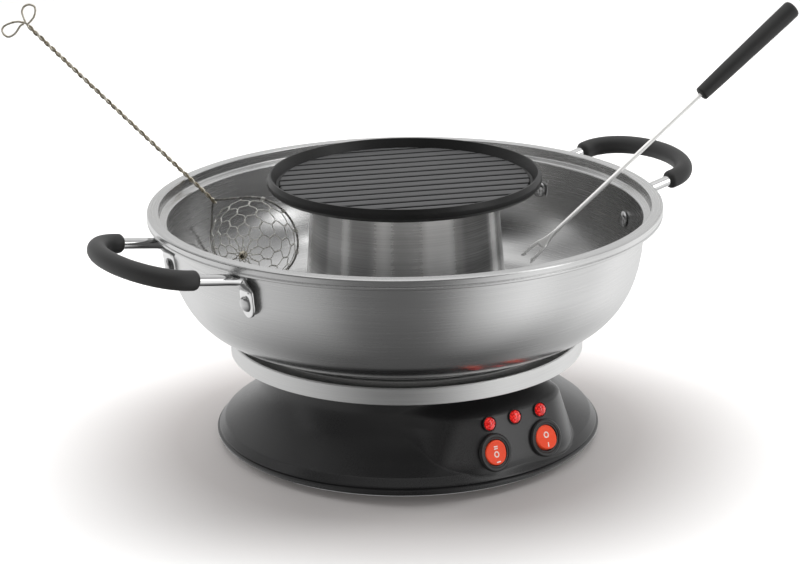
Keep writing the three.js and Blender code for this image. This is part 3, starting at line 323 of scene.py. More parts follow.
def roundedLine(corners, closed=True, steps=5):
    # each corner C with a radius becomes (1-t)^2 A + 2t(1-t) C + t^2 B, where A and B lie on its two
    # sides at radius * tan(turn / 2), held by one more point on each side
    corners = np.array([(*c, 0)[:3] for c in corners], float)
    place, radius = corners[:, :2], corners[:, 2]
    before, after = np.roll(place, 1, 0) - place, np.roll(place, -1, 0) - place
    shorter = np.minimum(np.linalg.norm(before, axis=1), np.linalg.norm(after, axis=1))
    before, after = unit(before), unit(after)
    half = np.arccos(np.clip(-(before * after).sum(1), -1, 1)) / 2
    reach = np.minimum(radius * np.tan(half), cornerShare * shorter)
    if not closed:
        reach[[0, -1]] = 0
    t = np.linspace(0, 1, steps)[None, :, None]
    a = (place + before * reach[:, None])[:, None]
    b = (place + after * reach[:, None])[:, None]
    arc = (1 - t) ** 2 * a + 2 * t * (1 - t) * place[:, None] + t**2 * b
    extra = (np.minimum(holdReach, holdShare * shorter) * (reach > 0))[:, None, None]
    line = np.concatenate([a + before[:, None] * extra, arc, b + after[:, None] * extra], 1).reshape(-1, 2)
    keep = np.linalg.norm(line - np.roll(line, 1, 0), axis=1) > leastStep
    keep[0] = True
    return line[keep]


def gridFaces(rows, columns, wrapRows):
    # one quad for each cell of a grid of rows * columns points whose rows are closed rings
    r = np.arange(rows if wrapRows else rows - 1)[:, None]
    c = np.arange(columns)[None, :]
    rn, cn = (r + 1) % rows, (c + 1) % columns
    cells = [r * columns + c, r * columns + cn, rn * columns + cn, rn * columns + c]
    return np.stack(np.broadcast_arrays(*cells), -1).reshape(-1, 4)


def gridShell(x, y, z, wrapRows=False):
    points = np.stack(np.broadcast_arrays(x, y, z), -1)
    return points.reshape(-1, 3), gridFaces(*points.shape[:2], wrapRows)


def turnedShell(line, closed=True, segments=160):
    # (r, z) carried round Z: x = r cos a, y = r sin a
    angle = np.linspace(0, 2 * np.pi, segments, endpoint=False)
    r, z = line[:, :1], line[:, 1:]
    return gridShell(r * np.cos(angle), r * np.sin(angle), z, closed)


def turned(corners, closed=True, segments=160, steps=5, low=0.0):
    # corners are radius, height over low and corner radius
    raised = [(radius, low + height, *rest) for radius, height, *rest in corners]
    return turnedShell(roundedLine(raised, closed, steps), closed, segments)


def sweep(paths, ups, widths, heights=None, power=2.0, sides=20, closed=False):
    # a tube along one path, or along each of many of one length, with its ends drawn together:
    # ring = path + side * w * sgn(cos a)|cos a|^(2/p) + up * h * sgn(sin a)|sin a|^(2/p)
    path = paths if paths.ndim == 3 else paths[None]
    if closed:
        tangents = np.roll(path, -1, -2) - np.roll(path, 1, -2)
    else:
        tangents = np.gradient(path, axis=-2)
    side = unit(np.cross(tangents, ups))
    up = unit(np.cross(side, tangents))
    angle = np.linspace(0, 2 * np.pi, sides, endpoint=False)
    power = 2 / np.asarray(power, float)[..., None]
    c = np.sign(np.cos(angle)) * np.abs(np.cos(angle)) ** power
    s = np.sign(np.sin(angle)) * np.abs(np.sin(angle)) ** power
    w, h = (
        np.broadcast_to(np.asarray(size, float), path.shape[:-1])[..., None]
        for size in (widths, widths if heights is None else heights)
    )
    path, side, up = (vectors[..., None, :] for vectors in (path, side, up))
    rings = path + side * (w * c)[..., None] + up * (h * s)[..., None]
    if not closed:
        ends = [np.repeat(rings[:, i].mean(1)[:, None, None], sides, 2) for i in (0, -1)]
        rings = np.concatenate([ends[0], rings, ends[1]], 1)
    count, length = rings.shape[:2]
    faces = gridFaces(length, sides, closed)[None] + (np.arange(count) * length * sides)[:, None, None]
    return rings.reshape(-1, 3), faces.reshape(-1, 4)


def joined(shells):
    points, faces, start = [], [], 0
    for shellPoints, shellFaces in shells:
        points.append(shellPoints)
        faces.append(shellFaces + start)
        start += len(shellPoints)
    return np.concatenate(points), np.concatenate(faces)


def placed(shell, matrix):
    # p' = M p
    points, faces = shell
    matrix = np.array(matrix)
    return points @ matrix[:3, :3].T + matrix[:3, 3], faces


def smoothLine(points, count):
    # a uniform cubic through the points: 0.5 (2b + (c-a)t + (2a-5b+4c-d)t^2 + (3b-a-3c+d)t^3)
    points = np.asarray(points, float)
    padded = np.concatenate([2 * points[:1] - points[1:2], points, 2 * points[-1:] - points[-2:-1]])
    place = np.linspace(0, len(points) - 1, count)
    i = np.minimum(place.astype(int), len(points) - 2)
    t = (place - i)[:, None]
    a, b, c, d = padded[i], padded[i + 1], padded[i + 2], padded[i + 3]
    return 0.5 * (2 * b + (c - a) * t + (2 * a - 5 * b + 4 * c - d) * t**2 + (3 * b - a - 3 * c + d) * t**3)


def curveThrough(x, keys, values):
    # a cubic between keys whose slopes are the table's own gradient
    keys, values = np.asarray(keys, float), np.asarray(values, float)
    slope = np.gradient(values, keys)
    i = np.clip(np.searchsorted(keys, x) - 1, 0, len(keys) - 2)
    span = keys[i + 1] - keys[i]
    t = np.clip((x - keys[i]) / span, 0, 1)
    return (
        (2 * t**3 - 3 * t**2 + 1) * values[i]
        + (t**3 - 2 * t**2 + t) * span * slope[i]
        + (3 * t**2 - 2 * t**3) * values[i + 1]
        + (t**3 - t**2) * span * slope[i + 1]
    )


def addPiece(name, shell, material, body, node=None, smooth=True):
    points, faces = shell
    mesh = bpy.data.meshes.new(name)
    mesh.from_pydata((points * mm).tolist(), [], faces.tolist())
    work = bmesh.new()
    work.from_mesh(mesh)
    bmesh.ops.remove_doubles(work, verts=work.verts, dist=weldReach)
    bmesh.ops.recalc_face_normals(work, faces=work.faces)
    work.to_mesh(mesh)
    work.free()
    mesh.polygons.foreach_set("use_smooth", np.full(len(mesh.polygons), smooth))
    mesh.materials.append(material)
    piece = linked(name, mesh)
    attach(piece, body)
    if node:
        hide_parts(node)


# Materials

wideRange = (0.3, 0.7)  # the part of its range that a noise mostly fills
podPaintedSheen = {
    # y and z in m over which the painted sheen on the pod's front face fades in or out
    "front": (-0.106, -0.101),
    "low": (0.013, 0.020),
    "high": (0.040, 0.048),
    "color": grey(0.030, -0.001),
}
ribShadeHeights = (0.1688, 0.1699)  # m, between which the painted shade in a groove turns into the rib's colour
# azimuth in degrees and level of the broad upright bands of painted reflection round the chimney
chimneyPaintedReflections = [
    (-180, 0.40), (-176, 0.47), (-168, 0.47), (-164, 0.60), (-158, 0.43), (-149, 0.43), (-139, 0.60),
    (-130, 0.47), (-118, 0.50), (-112, 0.63), (-100, 0.63), (-93, 0.44), (-87, 0.38), (-69, 0.36),
    (-61, 0.66), (-54, 0.37), (-40, 0.5), (-10, 0.4), (10, 0.6), (40, 0.42), (60, 0.58), (80, 0.4),
    (100, 0.6), (125, 0.45), (150, 0.6), (165, 0.44), (180, 0.40),
]


def newMaterial(name, color, roughness, metallic=0.0, **sockets):
    material = bpy.data.materials.new(name)
    material.use_nodes = True
    shader = material.node_tree.nodes["Principled BSDF"]
    values = {"Base Color": (*color, 1), "Roughness": roughness, "Metallic": metallic, **sockets}
    for key, value in values.items():
        shader.inputs[key.replace("_", " ")].default_value = value
    return material, material.node_tree, shader


def noiseAt(tree, vector, scale, detail=2.0, roughness=0.5, w=None):
    noise = addNode(tree, "ShaderNodeTexNoise", Scale=scale, Detail=detail, Roughness=roughness)
    tree.links.new(vector, noise.inputs["Vector"])
    if w is not None:
        noise.noise_dimensions = "4D"
        tree.links.new(w, noise.inputs["W"])
    return noise.outputs["Fac"]


def tinted(tree, shader, value, dark, light):
    # the base colour runs from dark to light with the value
    tree.links.new(mixedColor(tree, value, dark, light), shader.inputs["Base Color"])


def roughened(tree, shader, value, low, high):
    tree.links.new(mapped(tree, value, low, high, *wideRange), shader.inputs["Roughness"])


def bumped(tree, shader, height, strength, distance):
    bump = addNode(tree, "ShaderNodeBump", Strength=strength, Distance=distance)
    tree.links.new(height, bump.inputs["Height"])
    tree.links.new(bump.outputs[0], shader.inputs["Normal"])


def combine(tree, x, y, z):
    made = tree.nodes.new("ShaderNodeCombineXYZ")
    feed(tree, made.inputs, (x, y, z))
    return made.outputs[0]


def turnedSteel(name, dark, light, rough, lines=2200.0, sway=2.2, bump=0.02, anisotropic=0.6,
                streaks=0.3, paintedReflectionBands=None, metallic=1.0):
    # steel brushed round the Z axis: fine lines in radius and height that hardly change along the angle,
    # under soft streaks that change along the angle only, from noise or from a table of painted reflection
    # bands
    material, tree, shader = newMaterial(name, light, rough[0], metallic, Anisotropic=anisotropic)
    coords, x, y, z = coordsOf(tree)
    radius = radiusOf(tree, x, y)
    c, s = (addMath(tree, "DIVIDE", value, radius) for value in (x, y))
    ridges = combine(tree, scaled(tree, radius, lines), scaled(tree, z, lines), scaled(tree, c, sway))
    fine = noiseAt(tree, ridges, 1.0, detail=3.0, roughness=0.6, w=scaled(tree, s, sway))
    if paintedReflectionBands:
        upright = azimuthRamp(tree, s, c, paintedReflectionBands, "EASE")
    else:
        upright = noiseAt(tree, combine(tree, c, s, 0.0), 3.0, roughness=0.45)
    blend = weighted(tree, fine, upright, 1 - streaks, streaks)
    tinted(tree, shader, rising(tree, blend, 0.36, 0.64), dark, light)
    roughened(tree, shader, blend, *rough)
    bumped(tree, shader, fine, bump, distance=0.00006)
    tangent = addNode(tree, "ShaderNodeTangent", direction_type="RADIAL", axis="Z")
    tree.links.new(tangent.outputs[0], shader.inputs["Tangent"])
    return material


def polishedSteel(name, color, roughness, patch=0.03, metallic=1.0):
    # mirror steel with faint handling marks
    material, tree, shader = newMaterial(name, color, roughness, metallic)
    marks = noiseAt(tree, coordsOf(tree)[0], 260.0, detail=3.0, roughness=0.55)
    roughened(tree, shader, marks, roughness - patch, roughness + patch)
    tinted(tree, shader, marks, tuple(v * 0.93 for v in color), color)
    return material


def moulded(name, dark, light, roughness, grain=2600.0, bump=0.25, **sockets):
    # moulded plastic or coating: a fine grain in bump, colour and roughness
    material, tree, shader = newMaterial(name, light, roughness, **sockets)
    coords = coordsOf(tree)[0]
    fine = noiseAt(tree, coords, grain, roughness=0.6)
    broad = noiseAt(tree, coords, 22.0)
    blend = weighted(tree, fine, broad, 0.5, 0.5)
    tinted(tree, shader, rising(tree, blend, 0.32, 0.68), dark, light)
    roughened(tree, shader, blend, roughness - 0.06, roughness + 0.06)
    bumped(tree, shader, fine, bump, distance=0.00012)
    return material


def grooveLines(name, turn, dark, light, roughness):
    # ground ribs: fine lines that run along the grooves; painted shade makes each groove black and dull,
    # brighter with the rib's height
    material, tree, shader = newMaterial(name, light, roughness, 0.35)
    coords, x, y, z = coordsOf(tree)
    across = weighted(tree, x, y, -math.sin(turn), math.cos(turn))
    along = weighted(tree, x, y, math.cos(turn), math.sin(turn))
    ridges = combine(tree, scaled(tree, across, 1500.0), scaled(tree, along, 16.0), 0.0)
    lines = noiseAt(tree, ridges, 1.0, detail=3.0, roughness=0.65)
    # painted shade: the groove floor is black with weak reflection, and the rib's top keeps its colour
    rise = rising(tree, z, *ribShadeHeights)
    tree.links.new(mapped(tree, rise, 0.05, 0.5), shader.inputs["Specular IOR Level"])
    shade = addMath(tree, "MULTIPLY", rise, mapped(tree, lines, 0.45, 1.0, *wideRange))
    tinted(tree, shader, shade, dark, light)
    bumped(tree, shader, lines, 0.3, distance=0.0001)
    return material


def housingPlastic():
    # moulded black, with a lighter grey over the pod's front face as painted sheen
    material = moulded("housingBlack", grey(0.009, -0.0005), grey(0.017, -0.0005), 0.3, bump=0.15)
    tree = material.node_tree
    shader = tree.nodes["Principled BSDF"]
    coords, x, y, z = coordsOf(tree)
    front = falling(tree, y, *podPaintedSheen["front"])
    above = rising(tree, z, *podPaintedSheen["low"])
    below = falling(tree, z, *podPaintedSheen["high"])
    # painted sheen: a lighter grey over the pod's front face
    share = scaled(tree, scaled(tree, front, above), below)
    color = shader.inputs["Base Color"].links[0].from_socket
    tinted(tree, shader, share, color, podPaintedSheen["color"])
    return material


def lensRedPaintedGlints():
    # clear red plastic with painted glints from its cut back as bright and dark cells, and a painted glow
    material, tree, shader = newMaterial("lensRedPaintedGlints", (0.55, 0.01, 0.01), 0.12, Coat_Weight=0.6)
    cells = addNode(tree, "ShaderNodeTexVoronoi", Scale=750.0)
    tree.links.new(coordsOf(tree)[0], cells.inputs["Vector"])
    level = scaled(tree, cells.outputs["Distance"], 1.5)
    tinted(tree, shader, level, (0.95, 0.04, 0.03), (0.45, 0.0, 0.0))
    paintedGlow = mixedColor(tree, level, (1.0, 0.05, 0.04), (0.25, 0.0, 0.0))
    tree.links.new(paintedGlow, shader.inputs["Emission Color"])
    shader.inputs["Emission Strength"].default_value = 0.5
    return material


def wireMetal(name, dark, light, roughness):
    # tinned wire with uneven plating
    material, tree, shader = newMaterial(name, light, roughness, 1.0)
    patches = noiseAt(tree, coordsOf(tree)[0], 420.0, detail=3.0, roughness=0.6)
    tinted(tree, shader, rising(tree, patches, 0.35, 0.65), dark, light)
    roughened(tree, shader, patches, roughness - 0.08, roughness + 0.1)
    return material


steelBowl = turnedSteel("steelBowl", grey(0.64), grey(0.73, 0.005), (0.2, 0.3), lines=3600.0, bump=0.012)
# the chimney's upright bright and dark bands are painted reflections
steelChimney = turnedSteel(
    "steelChimney", grey(0.16), grey(1.0, 0.005), (0.22, 0.32), lines=2600.0, sway=1.2, bump=0.03,
    streaks=0.85, paintedReflectionBands=chimneyPaintedReflections, metallic=0.6,
)
steelBand = turnedSteel(
    "steelBand", grey(0.70, 0.005), grey(0.78, 0.005), (0.4, 0.5), lines=1800.0, sway=2.0, anisotropic=0.3,
)
steelPlain = turnedSteel("steelPlain", grey(0.42), grey(0.56, 0.005), (0.28, 0.4))
chrome = polishedSteel("chrome", grey(0.78), 0.07)
chromeSoft = polishedSteel("chromeSoft", grey(0.66), 0.16)
forkSteel = polishedSteel("forkSteel", grey(0.97, 0.01), 0.2, metallic=0.4)
housingBlack = housingPlastic()
bezelBlack = moulded("bezelBlack", grey(0.006), grey(0.011), 0.34)
gripBlack = moulded("gripBlack", grey(0.012), grey(0.022), 0.5, grain=3200.0, bump=0.3)
coatingBlack = moulded(
    "coatingBlack", grey(0.003), grey(0.009), 0.42, grain=1500.0, bump=0.4, Specular_IOR_Level=0.4,
)
rockerRed = moulded("rockerRed", (0.74, 0.052, 0.016), (0.82, 0.074, 0.022), 0.4, grain=1800.0, bump=0.05)
markWhite = moulded("markWhite", (0.75, 0.62, 0.58), (0.85, 0.74, 0.70), 0.5)
castAluminium = moulded("castAluminium", grey(0.25), grey(0.36), 0.5, grain=900.0, bump=0.3, metallic=0.8)
sheathGrey = moulded(
    "sheathGrey", (0.05, 0.048, 0.045), (0.09, 0.085, 0.08), 0.5, grain=900.0, bump=0.2, metallic=0.7,
)
rubberBlack = moulded("rubberBlack", grey(0.008), grey(0.014), 0.75)
ceramicWhite = moulded("ceramicWhite", (0.62, 0.59, 0.52), (0.72, 0.69, 0.62), 0.6)
leadBrown = moulded("leadBrown", (0.14, 0.05, 0.02), (0.2, 0.07, 0.03), 0.55)
screwGrey = polishedSteel("screwGrey", grey(0.35), 0.3, patch=0.06)
lampRed = lensRedPaintedGlints()
wireRing = wireMetal("wireRing", (0.16, 0.155, 0.15), (0.42, 0.41, 0.39), 0.3)
wireNet = wireMetal("wireNet", (0.70, 0.69, 0.66), (0.95, 0.94, 0.90), 0.4)
wireGold = wireMetal("wireGold", (0.62, 0.56, 0.44), (0.92, 0.88, 0.78), 0.35)
# a darker copy of the gold wire: painted shade for the shadowed gaps of the twist
wirePaintedShade = wireMetal("wirePaintedShade", (0.2, 0.17, 0.12), (0.5, 0.44, 0.34), 0.32)
ribsBlack = grooveLines("ribsBlack", math.radians(-24), grey(0.003), (0.076, 0.077, 0.079), 0.5)
print("materials made")


# Pot

pot = {
    "turn": math.radians(-1.8),
    "rimTop": 155.4,
    "bottom": 75.4,
    "sheet": 1.0,
    "shoulder": 71.4,
    "floorRadius": 96.5,
    "wallRadius": 153.4,
    "heightPower": 2.33,
    "reachPower": 2.75,
    "floorHole": 67.5,
    "chimneyLift": 1.3,
    "discDrop": 3.8,
    # outlines: radius, height over the rim's top or over the piece's foot, corner radius
    "rim": [
        (158.4, -7.3, 0.8), (158.8, -1.1, 0.8), (163.8, -1.1, 0.8), (163.8, -6.3, 0.3), (164.3, -6.7, 0.5),
        (165.1, -6.2, 0.5), (165.1, -4.9, 0.3), (164.6, -4.6, 0.2), (164.6, -4.3, 0.2), (165.1, -4.0, 0.3),
        (165.1, 0, 1.5), (157.7, 0, 0.8), (157.3, -6.4, 0.8), (152.4, -8.0, 1.3),
    ],
    "chimney": [
        (65.5, 0), (71.5, 0, 0.3), (71.5, 1, 0.3), (66.6, 1.2, 2.5), (59.75, 86.4), (59.7, 88, 0.5),
        (58.5, 88, 0.5), (58.6, 86), (65.4, 2.5, 1.0),
    ],
    "disc": [(70.5, 0, 0.5), (106.6, 0, 1.2), (108, 1.6, 0.8), (108, 3.5, 0.4), (70.5, 3.5, 0.3)],
}


def bowlWall(count):
    # superellipse: r = floor + (wall - floor) cos(a)^(2/q), z = bottom + shoulder (1 - sin(a)^(2/p))
    angle = np.linspace(np.pi / 2, 0, count)
    reach = np.clip(np.cos(angle), 0, 1) ** (2 / pot["reachPower"])
    drop = np.sin(angle) ** (2 / pot["heightPower"])
    radius = pot["floorRadius"] + (pot["wallRadius"] - pot["floorRadius"]) * reach
    return np.column_stack([radius, pot["bottom"] + pot["shoulder"] * (1 - drop)])


def bowlShell():
    outer = bowlWall(90)
    step = unit(np.gradient(outer, axis=0))
    inner = outer + pot["sheet"] * np.column_stack([-step[:, 1], step[:, 0]])
    rim = [(radius, pot["rimTop"] + height, corner) for radius, height, corner in pot["rim"]]
    hole = [(pot["floorHole"], pot["bottom"]), (pot["floorHole"], pot["bottom"] + pot["sheet"])]
    corners = [hole[0], *outer.tolist(), *rim, *inner[-2:0:-1].tolist(), hole[1]]
    return turned(corners, segments=220, steps=6)


chimneyShell = turned(pot["chimney"], segments=200, low=pot["bottom"] + pot["chimneyLift"])
discShell = turned(pot["disc"], segments=200, low=pot["bottom"] - pot["discDrop"])
addPiece("bowl", bowlShell(), steelBowl, "pot", "pot_bowl")
addPiece("chimney", chimneyShell, steelChimney, "pot", "pot_chimney")
addPiece("baseDisc", discShell, chrome, "pot", "pot_base_disc")
print("pot made")


# Handles

handle = {
    "tube": 3.5,
    "halfWidth": 46.5,
    "straight": 186.0,
    "reach": 212.4,
    "slope": math.radians(10),
    "datum": 170.0,
    "drop": 8.2,
    "lift": 1.5,
    "clearance": 0.3,
    "cornerRun": 2.6,
    "bendRun": 10.1,
    "ringGap": 2.0,
    "gripRadius": 6.15,
    "gripEndRadius": 3.7,
    "gripEase": 3.2,
    "gripPower": 2.2,
    "gripStart": 180.5,
    "tabHalfWidth": 7.6,
    "tabHalfThickness": 1.1,
    "tabPower": 5.0,
    # depths below the rim of the tab's rings, of its turn into the tube and of its turn outwards
    "tabDepths": [36.0, 35.6, 35, 34, 32.5, 30, 27, 24, 21, 18.5, 16.5, 14.6, 13.0, 11.6],
    "flatFrom": 12.5,
    "flatOver": 6.5,
    "outFrom": 20.0,
    "outOver": 8.4,
}
handleUp = np.array([-math.sin(handle["slope"]), 0, math.cos(handle["slope"])])
rivet = {
    "depth": 27.0,
    "halfSpan": 4.6,
    "head": 5.0,
    "innerHead": 5.5,
    "dome": 2.3,
    "domeEdge": 0.12,
    "seat": 2.9,
    "innerSeat": -2.2,
    # the shank and the inner head's edge: radius and height over the wall
    "shank": [(5.0, 2.9), (2.5, 2.9), (2.5, -1.6), (4.6, -1.6), (5.5, -1.9)],
}


def handleHeight(reach):
    return pot["rimTop"] - handle["drop"] + math.tan(handle["slope"]) * (reach - handle["datum"])


def wallRadiusAt(height):
    wall = bowlWall(400)
    return np.interp(height, wall[:, 1], wall[:, 0])


def rivetMatrix(side, turn):
    # Z out of the wall and Y up it, at the rivet
    height = pot["rimTop"] - rivet["depth"]
    above, below = (wallRadiusAt(height + step * rivet["halfSpan"]) for step in (1, -1))
    lean = math.atan2(above - below, 2 * rivet["halfSpan"])
    radius = wallRadiusAt(height)
    azimuth = math.asin(side * handle["halfWidth"] / radius)
    return (
        Matrix.Rotation(turn + azimuth, 4, "Z") @ Matrix.Translation((radius, 0, height))
        @ Matrix.Rotation(math.pi / 2 + lean, 4, "Y") @ Matrix.Rotation(math.pi / 2, 4, "Z")
    )


def handlePath(side):
    # from the tab's lower end up the wall, bent out by a curve (1-t)^2 A + 2t(1-t) C + t^2 B into the
    # straight run
    tube, thin, aside = handle["tube"], handle["tabHalfThickness"], side * handle["halfWidth"]
    depths = np.array(handle["tabDepths"])
    flat = eased(np.clip((depths - handle["flatFrom"]) / handle["flatOver"], 0, 1))
    lift = handle["lift"] + (tube + handle["clearance"] - thin) * (1 - flat)
    tab = np.column_stack([0 * depths, rivet["depth"] - depths, lift])
    tab = placed((tab, None), rivetMatrix(side, 0.0))[0]
    tab[:, 1] += (aside - tab[:, 1]) * np.clip((handle["outFrom"] - depths) / handle["outOver"], 0, 1)
    corner, bendEnd = (
        np.array([x, aside, handleHeight(x)])
        for x in (tab[-1][0] + handle["cornerRun"], tab[-1][0] + handle["bendRun"])
    )
    t = np.linspace(0, 1, 9)[1:, None]
    bend = (1 - t) ** 2 * tab[-1] + 2 * t * (1 - t) * corner + t**2 * bendEnd
    reach = np.linspace(bendEnd[0] + handle["ringGap"], handle["straight"], 8)
    run = np.column_stack([reach, 0 * reach + aside, handleHeight(reach)])
    endGap = np.clip(handle["tabHalfWidth"] - (depths[0] - depths), 0, None)
    rounding = np.sqrt(np.clip(1 - (endGap / handle["tabHalfWidth"]) ** 2, 0.0004, 1))
    path = np.concatenate([tab, bend, run])
    ups = np.cross((0, 1.0, 0), unit(np.gradient(path, axis=0)))
    rest = np.zeros(len(path) - len(tab))
    width = np.append((tube + (handle["tabHalfWidth"] - tube) * flat) * rounding, rest + tube)
    height = np.append(tube + (thin - tube) * flat, rest + tube)
    power = np.append(2 + (handle["tabPower"] - 2) * flat, rest + 2)
    return path, ups * np.sign(ups @ handleUp)[:, None], width, height, power


def bowPath(count, start=None):
    # half an ellipse: reach = straight + (reach - straight) cos a, width = half width sin a
    angle = np.linspace(-np.pi / 2, np.pi / 2, count)
    reach = handle["straight"] + (handle["reach"] - handle["straight"]) * np.cos(angle)
    bow = np.column_stack([reach, handle["halfWidth"] * np.sin(angle), handleHeight(reach)])
    if start is None:
        return bow[1:-1]
    run = np.linspace(start, handle["straight"], 12)[:-1]
    near = np.column_stack([run, 0 * run - handle["halfWidth"], handleHeight(run)])
    return np.concatenate([near, bow, near[::-1] * (1, -1, 1)])


def handleFrameShell(turn):
    nearPath, nearUps, *sizes = handlePath(-1)
    farPath, farUps = handlePath(1)[:2]
    bow = bowPath(50)
    path = np.concatenate([nearPath, bow, farPath[::-1]])
    ups = np.concatenate([nearUps, np.tile(handleUp, (len(bow), 1)), farUps[::-1]])
    width, height, power = (np.concatenate([size, np.full(len(bow), size[-1]), size[::-1]]) for size in sizes)
    return placed(sweep(path, ups, width, height, power, 28), Matrix.Rotation(turn, 4, "Z"))


def gripShell(turn):
    # the radius rises at both ends as a superellipse: r = R (1 - (1 - d / h)^p)^(1 / p)
    path = bowPath(90, handle["gripStart"])
    along = np.append(0, np.cumsum(np.linalg.norm(np.diff(path, axis=0), axis=1)))
    gap = np.minimum(along, along[-1] - along)
    power = handle["gripPower"]
    ends = (1 - np.clip(1 - gap / handle["gripEase"], 0, 1) ** power) ** (1 / power)
    radius = handle["gripEndRadius"] + (handle["gripRadius"] - handle["gripEndRadius"]) * ends
    return placed(sweep(path, handleUp, radius, sides=32), Matrix.Rotation(turn, 4, "Z"))


def rivetShell(side, turn):
    # a dome outside and another inside, on one shank
    angle = np.linspace(np.pi / 2, rivet["domeEdge"], 9)
    c, s = np.cos(angle), rivet["dome"] * np.sin(angle)
    outside = np.column_stack([rivet["head"] * c, rivet["seat"] + s])
    inside = np.column_stack([rivet["innerHead"] * c, rivet["innerSeat"] - s])[::-1]
    line = np.concatenate([outside, rivet["shank"], inside])
    return placed(turnedShell(line, False, 40), rivetMatrix(side, turn))


for sideName, halfTurn in (("right", 0.0), ("left", math.pi)):
    turn = pot["turn"] + halfTurn
    frameNode, gripNode = f"{sideName}_handle_frame", f"{sideName}_handle_grip"
    addPiece(f"{sideName}HandleFrame", handleFrameShell(turn), chrome, "pot", frameNode)
    addPiece(f"{sideName}HandleGrip", gripShell(turn), gripBlack, "pot", gripNode)
    for which, side in (("a", -1), ("b", 1)):
        rivetNode = f"{sideName}_rivet_{which}"
        shell = rivetShell(side, turn)
        addPiece(f"{sideName}Rivet{which}", shell, chromeSoft, "pot", rivetNode)
print("handles made")


# Grill plate

plate = {
    "bottom": 165.0,
    "turn": math.radians(-24),
    "field": 80.5,
    "pitch": 11.4,
    "count": 14,
    "groove": 2.7,
    "grooveWall": (0.35, 0.5),  # how far inside the groove's edge its wall starts, and over how much it rises
    "edgeFade": 0.9,
    "ribTop": 170.0,
    "ribLow": 167.7,
    "grooveRise": 0.25,
    # shares of the pitch and of the groove at which the ribs' rows of points lie
    "ribRows": [0.28, 0.4, 0.5, 0.6, 0.72],
    "grooveRows": [-1, -0.93, -0.86, -0.79, -0.72, 0.72, 0.79, 0.86, 0.93, 1],
    "grooveMargin": 0.15,
    "pan": [
        (0, 0), (54.6, 0), (54.6, -4, 0.4), (57, -4, 0.4), (57, 0, 0.3), (80, 0, 2.0), (85.8, 1.8, 1.6),
        (87.9, 4.2, 1.6), (87.9, 7.0, 2.0), (86.4, 10.05, 0.25), (85.3, 10.0, 0.25), (82.4, 3.6, 1.0),
        (81.4, 2.9, 0.6), (0, 2.9),
    ],
}


def ribShell():
    # height over (u, v): the rib's flat top less a rounded groove at each centre, faded to the floor
    # near the field's edge; v runs over the chord at u
    centres = ((np.arange(plate["count"]) - (plate["count"] - 1) / 2) * plate["pitch"])[:, None]
    half = plate["groove"] / 2
    offsets = np.array(plate["grooveRows"]) * (half + plate["grooveMargin"])
    edge = plate["field"] * np.sin(np.linspace(-np.pi / 2, np.pi / 2, 61))
    rows = [centres + offsets, centres + np.array(plate["ribRows"]) * plate["pitch"], edge[:4], edge[-4:]]
    u = np.unique(np.round(np.concatenate([row.ravel() for row in rows]), 4))
    u = u[np.abs(u) <= plate["field"]][:, None]
    v = np.sqrt(np.maximum(plate["field"] ** 2 - u**2, 0)) * np.sin(np.linspace(-np.pi / 2, np.pi / 2, 81))
    distance = plate["field"] - np.sqrt(u**2 + v**2)
    gap = np.abs(u - centres.T).min(1)
    inside, over = plate["grooveWall"]
    wall = eased(np.clip((gap - half + inside) / over, 0, 1))[:, None]
    rise = wall * np.clip(distance / plate["edgeFade"], 0, 1) ** 0.5
    low = plate["ribLow"]
    floor = low + plate["grooveRise"]
    z = np.where(distance < 1e-6, low, floor + (plate["ribTop"] - floor) * rise)
    # back under the field with every eighth point
    v = np.concatenate([v, v[:, ::-1][:, ::8]], 1)
    z = np.concatenate([z, np.full((len(z), v.shape[1] - z.shape[1]), low)], 1)
    c, s = math.cos(plate["turn"]), math.sin(plate["turn"])
    return gridShell(v * c - u * s, v * s + u * c, z)


panShell = turned(plate["pan"], False, 220, low=plate["bottom"])
addPiece("grillPan", panShell, coatingBlack, "grill_plate", "grill_plate")
addPiece("grillRibs", ribShell(), ribsBlack, "grill_plate", None)
print("grill plate made")


# Base

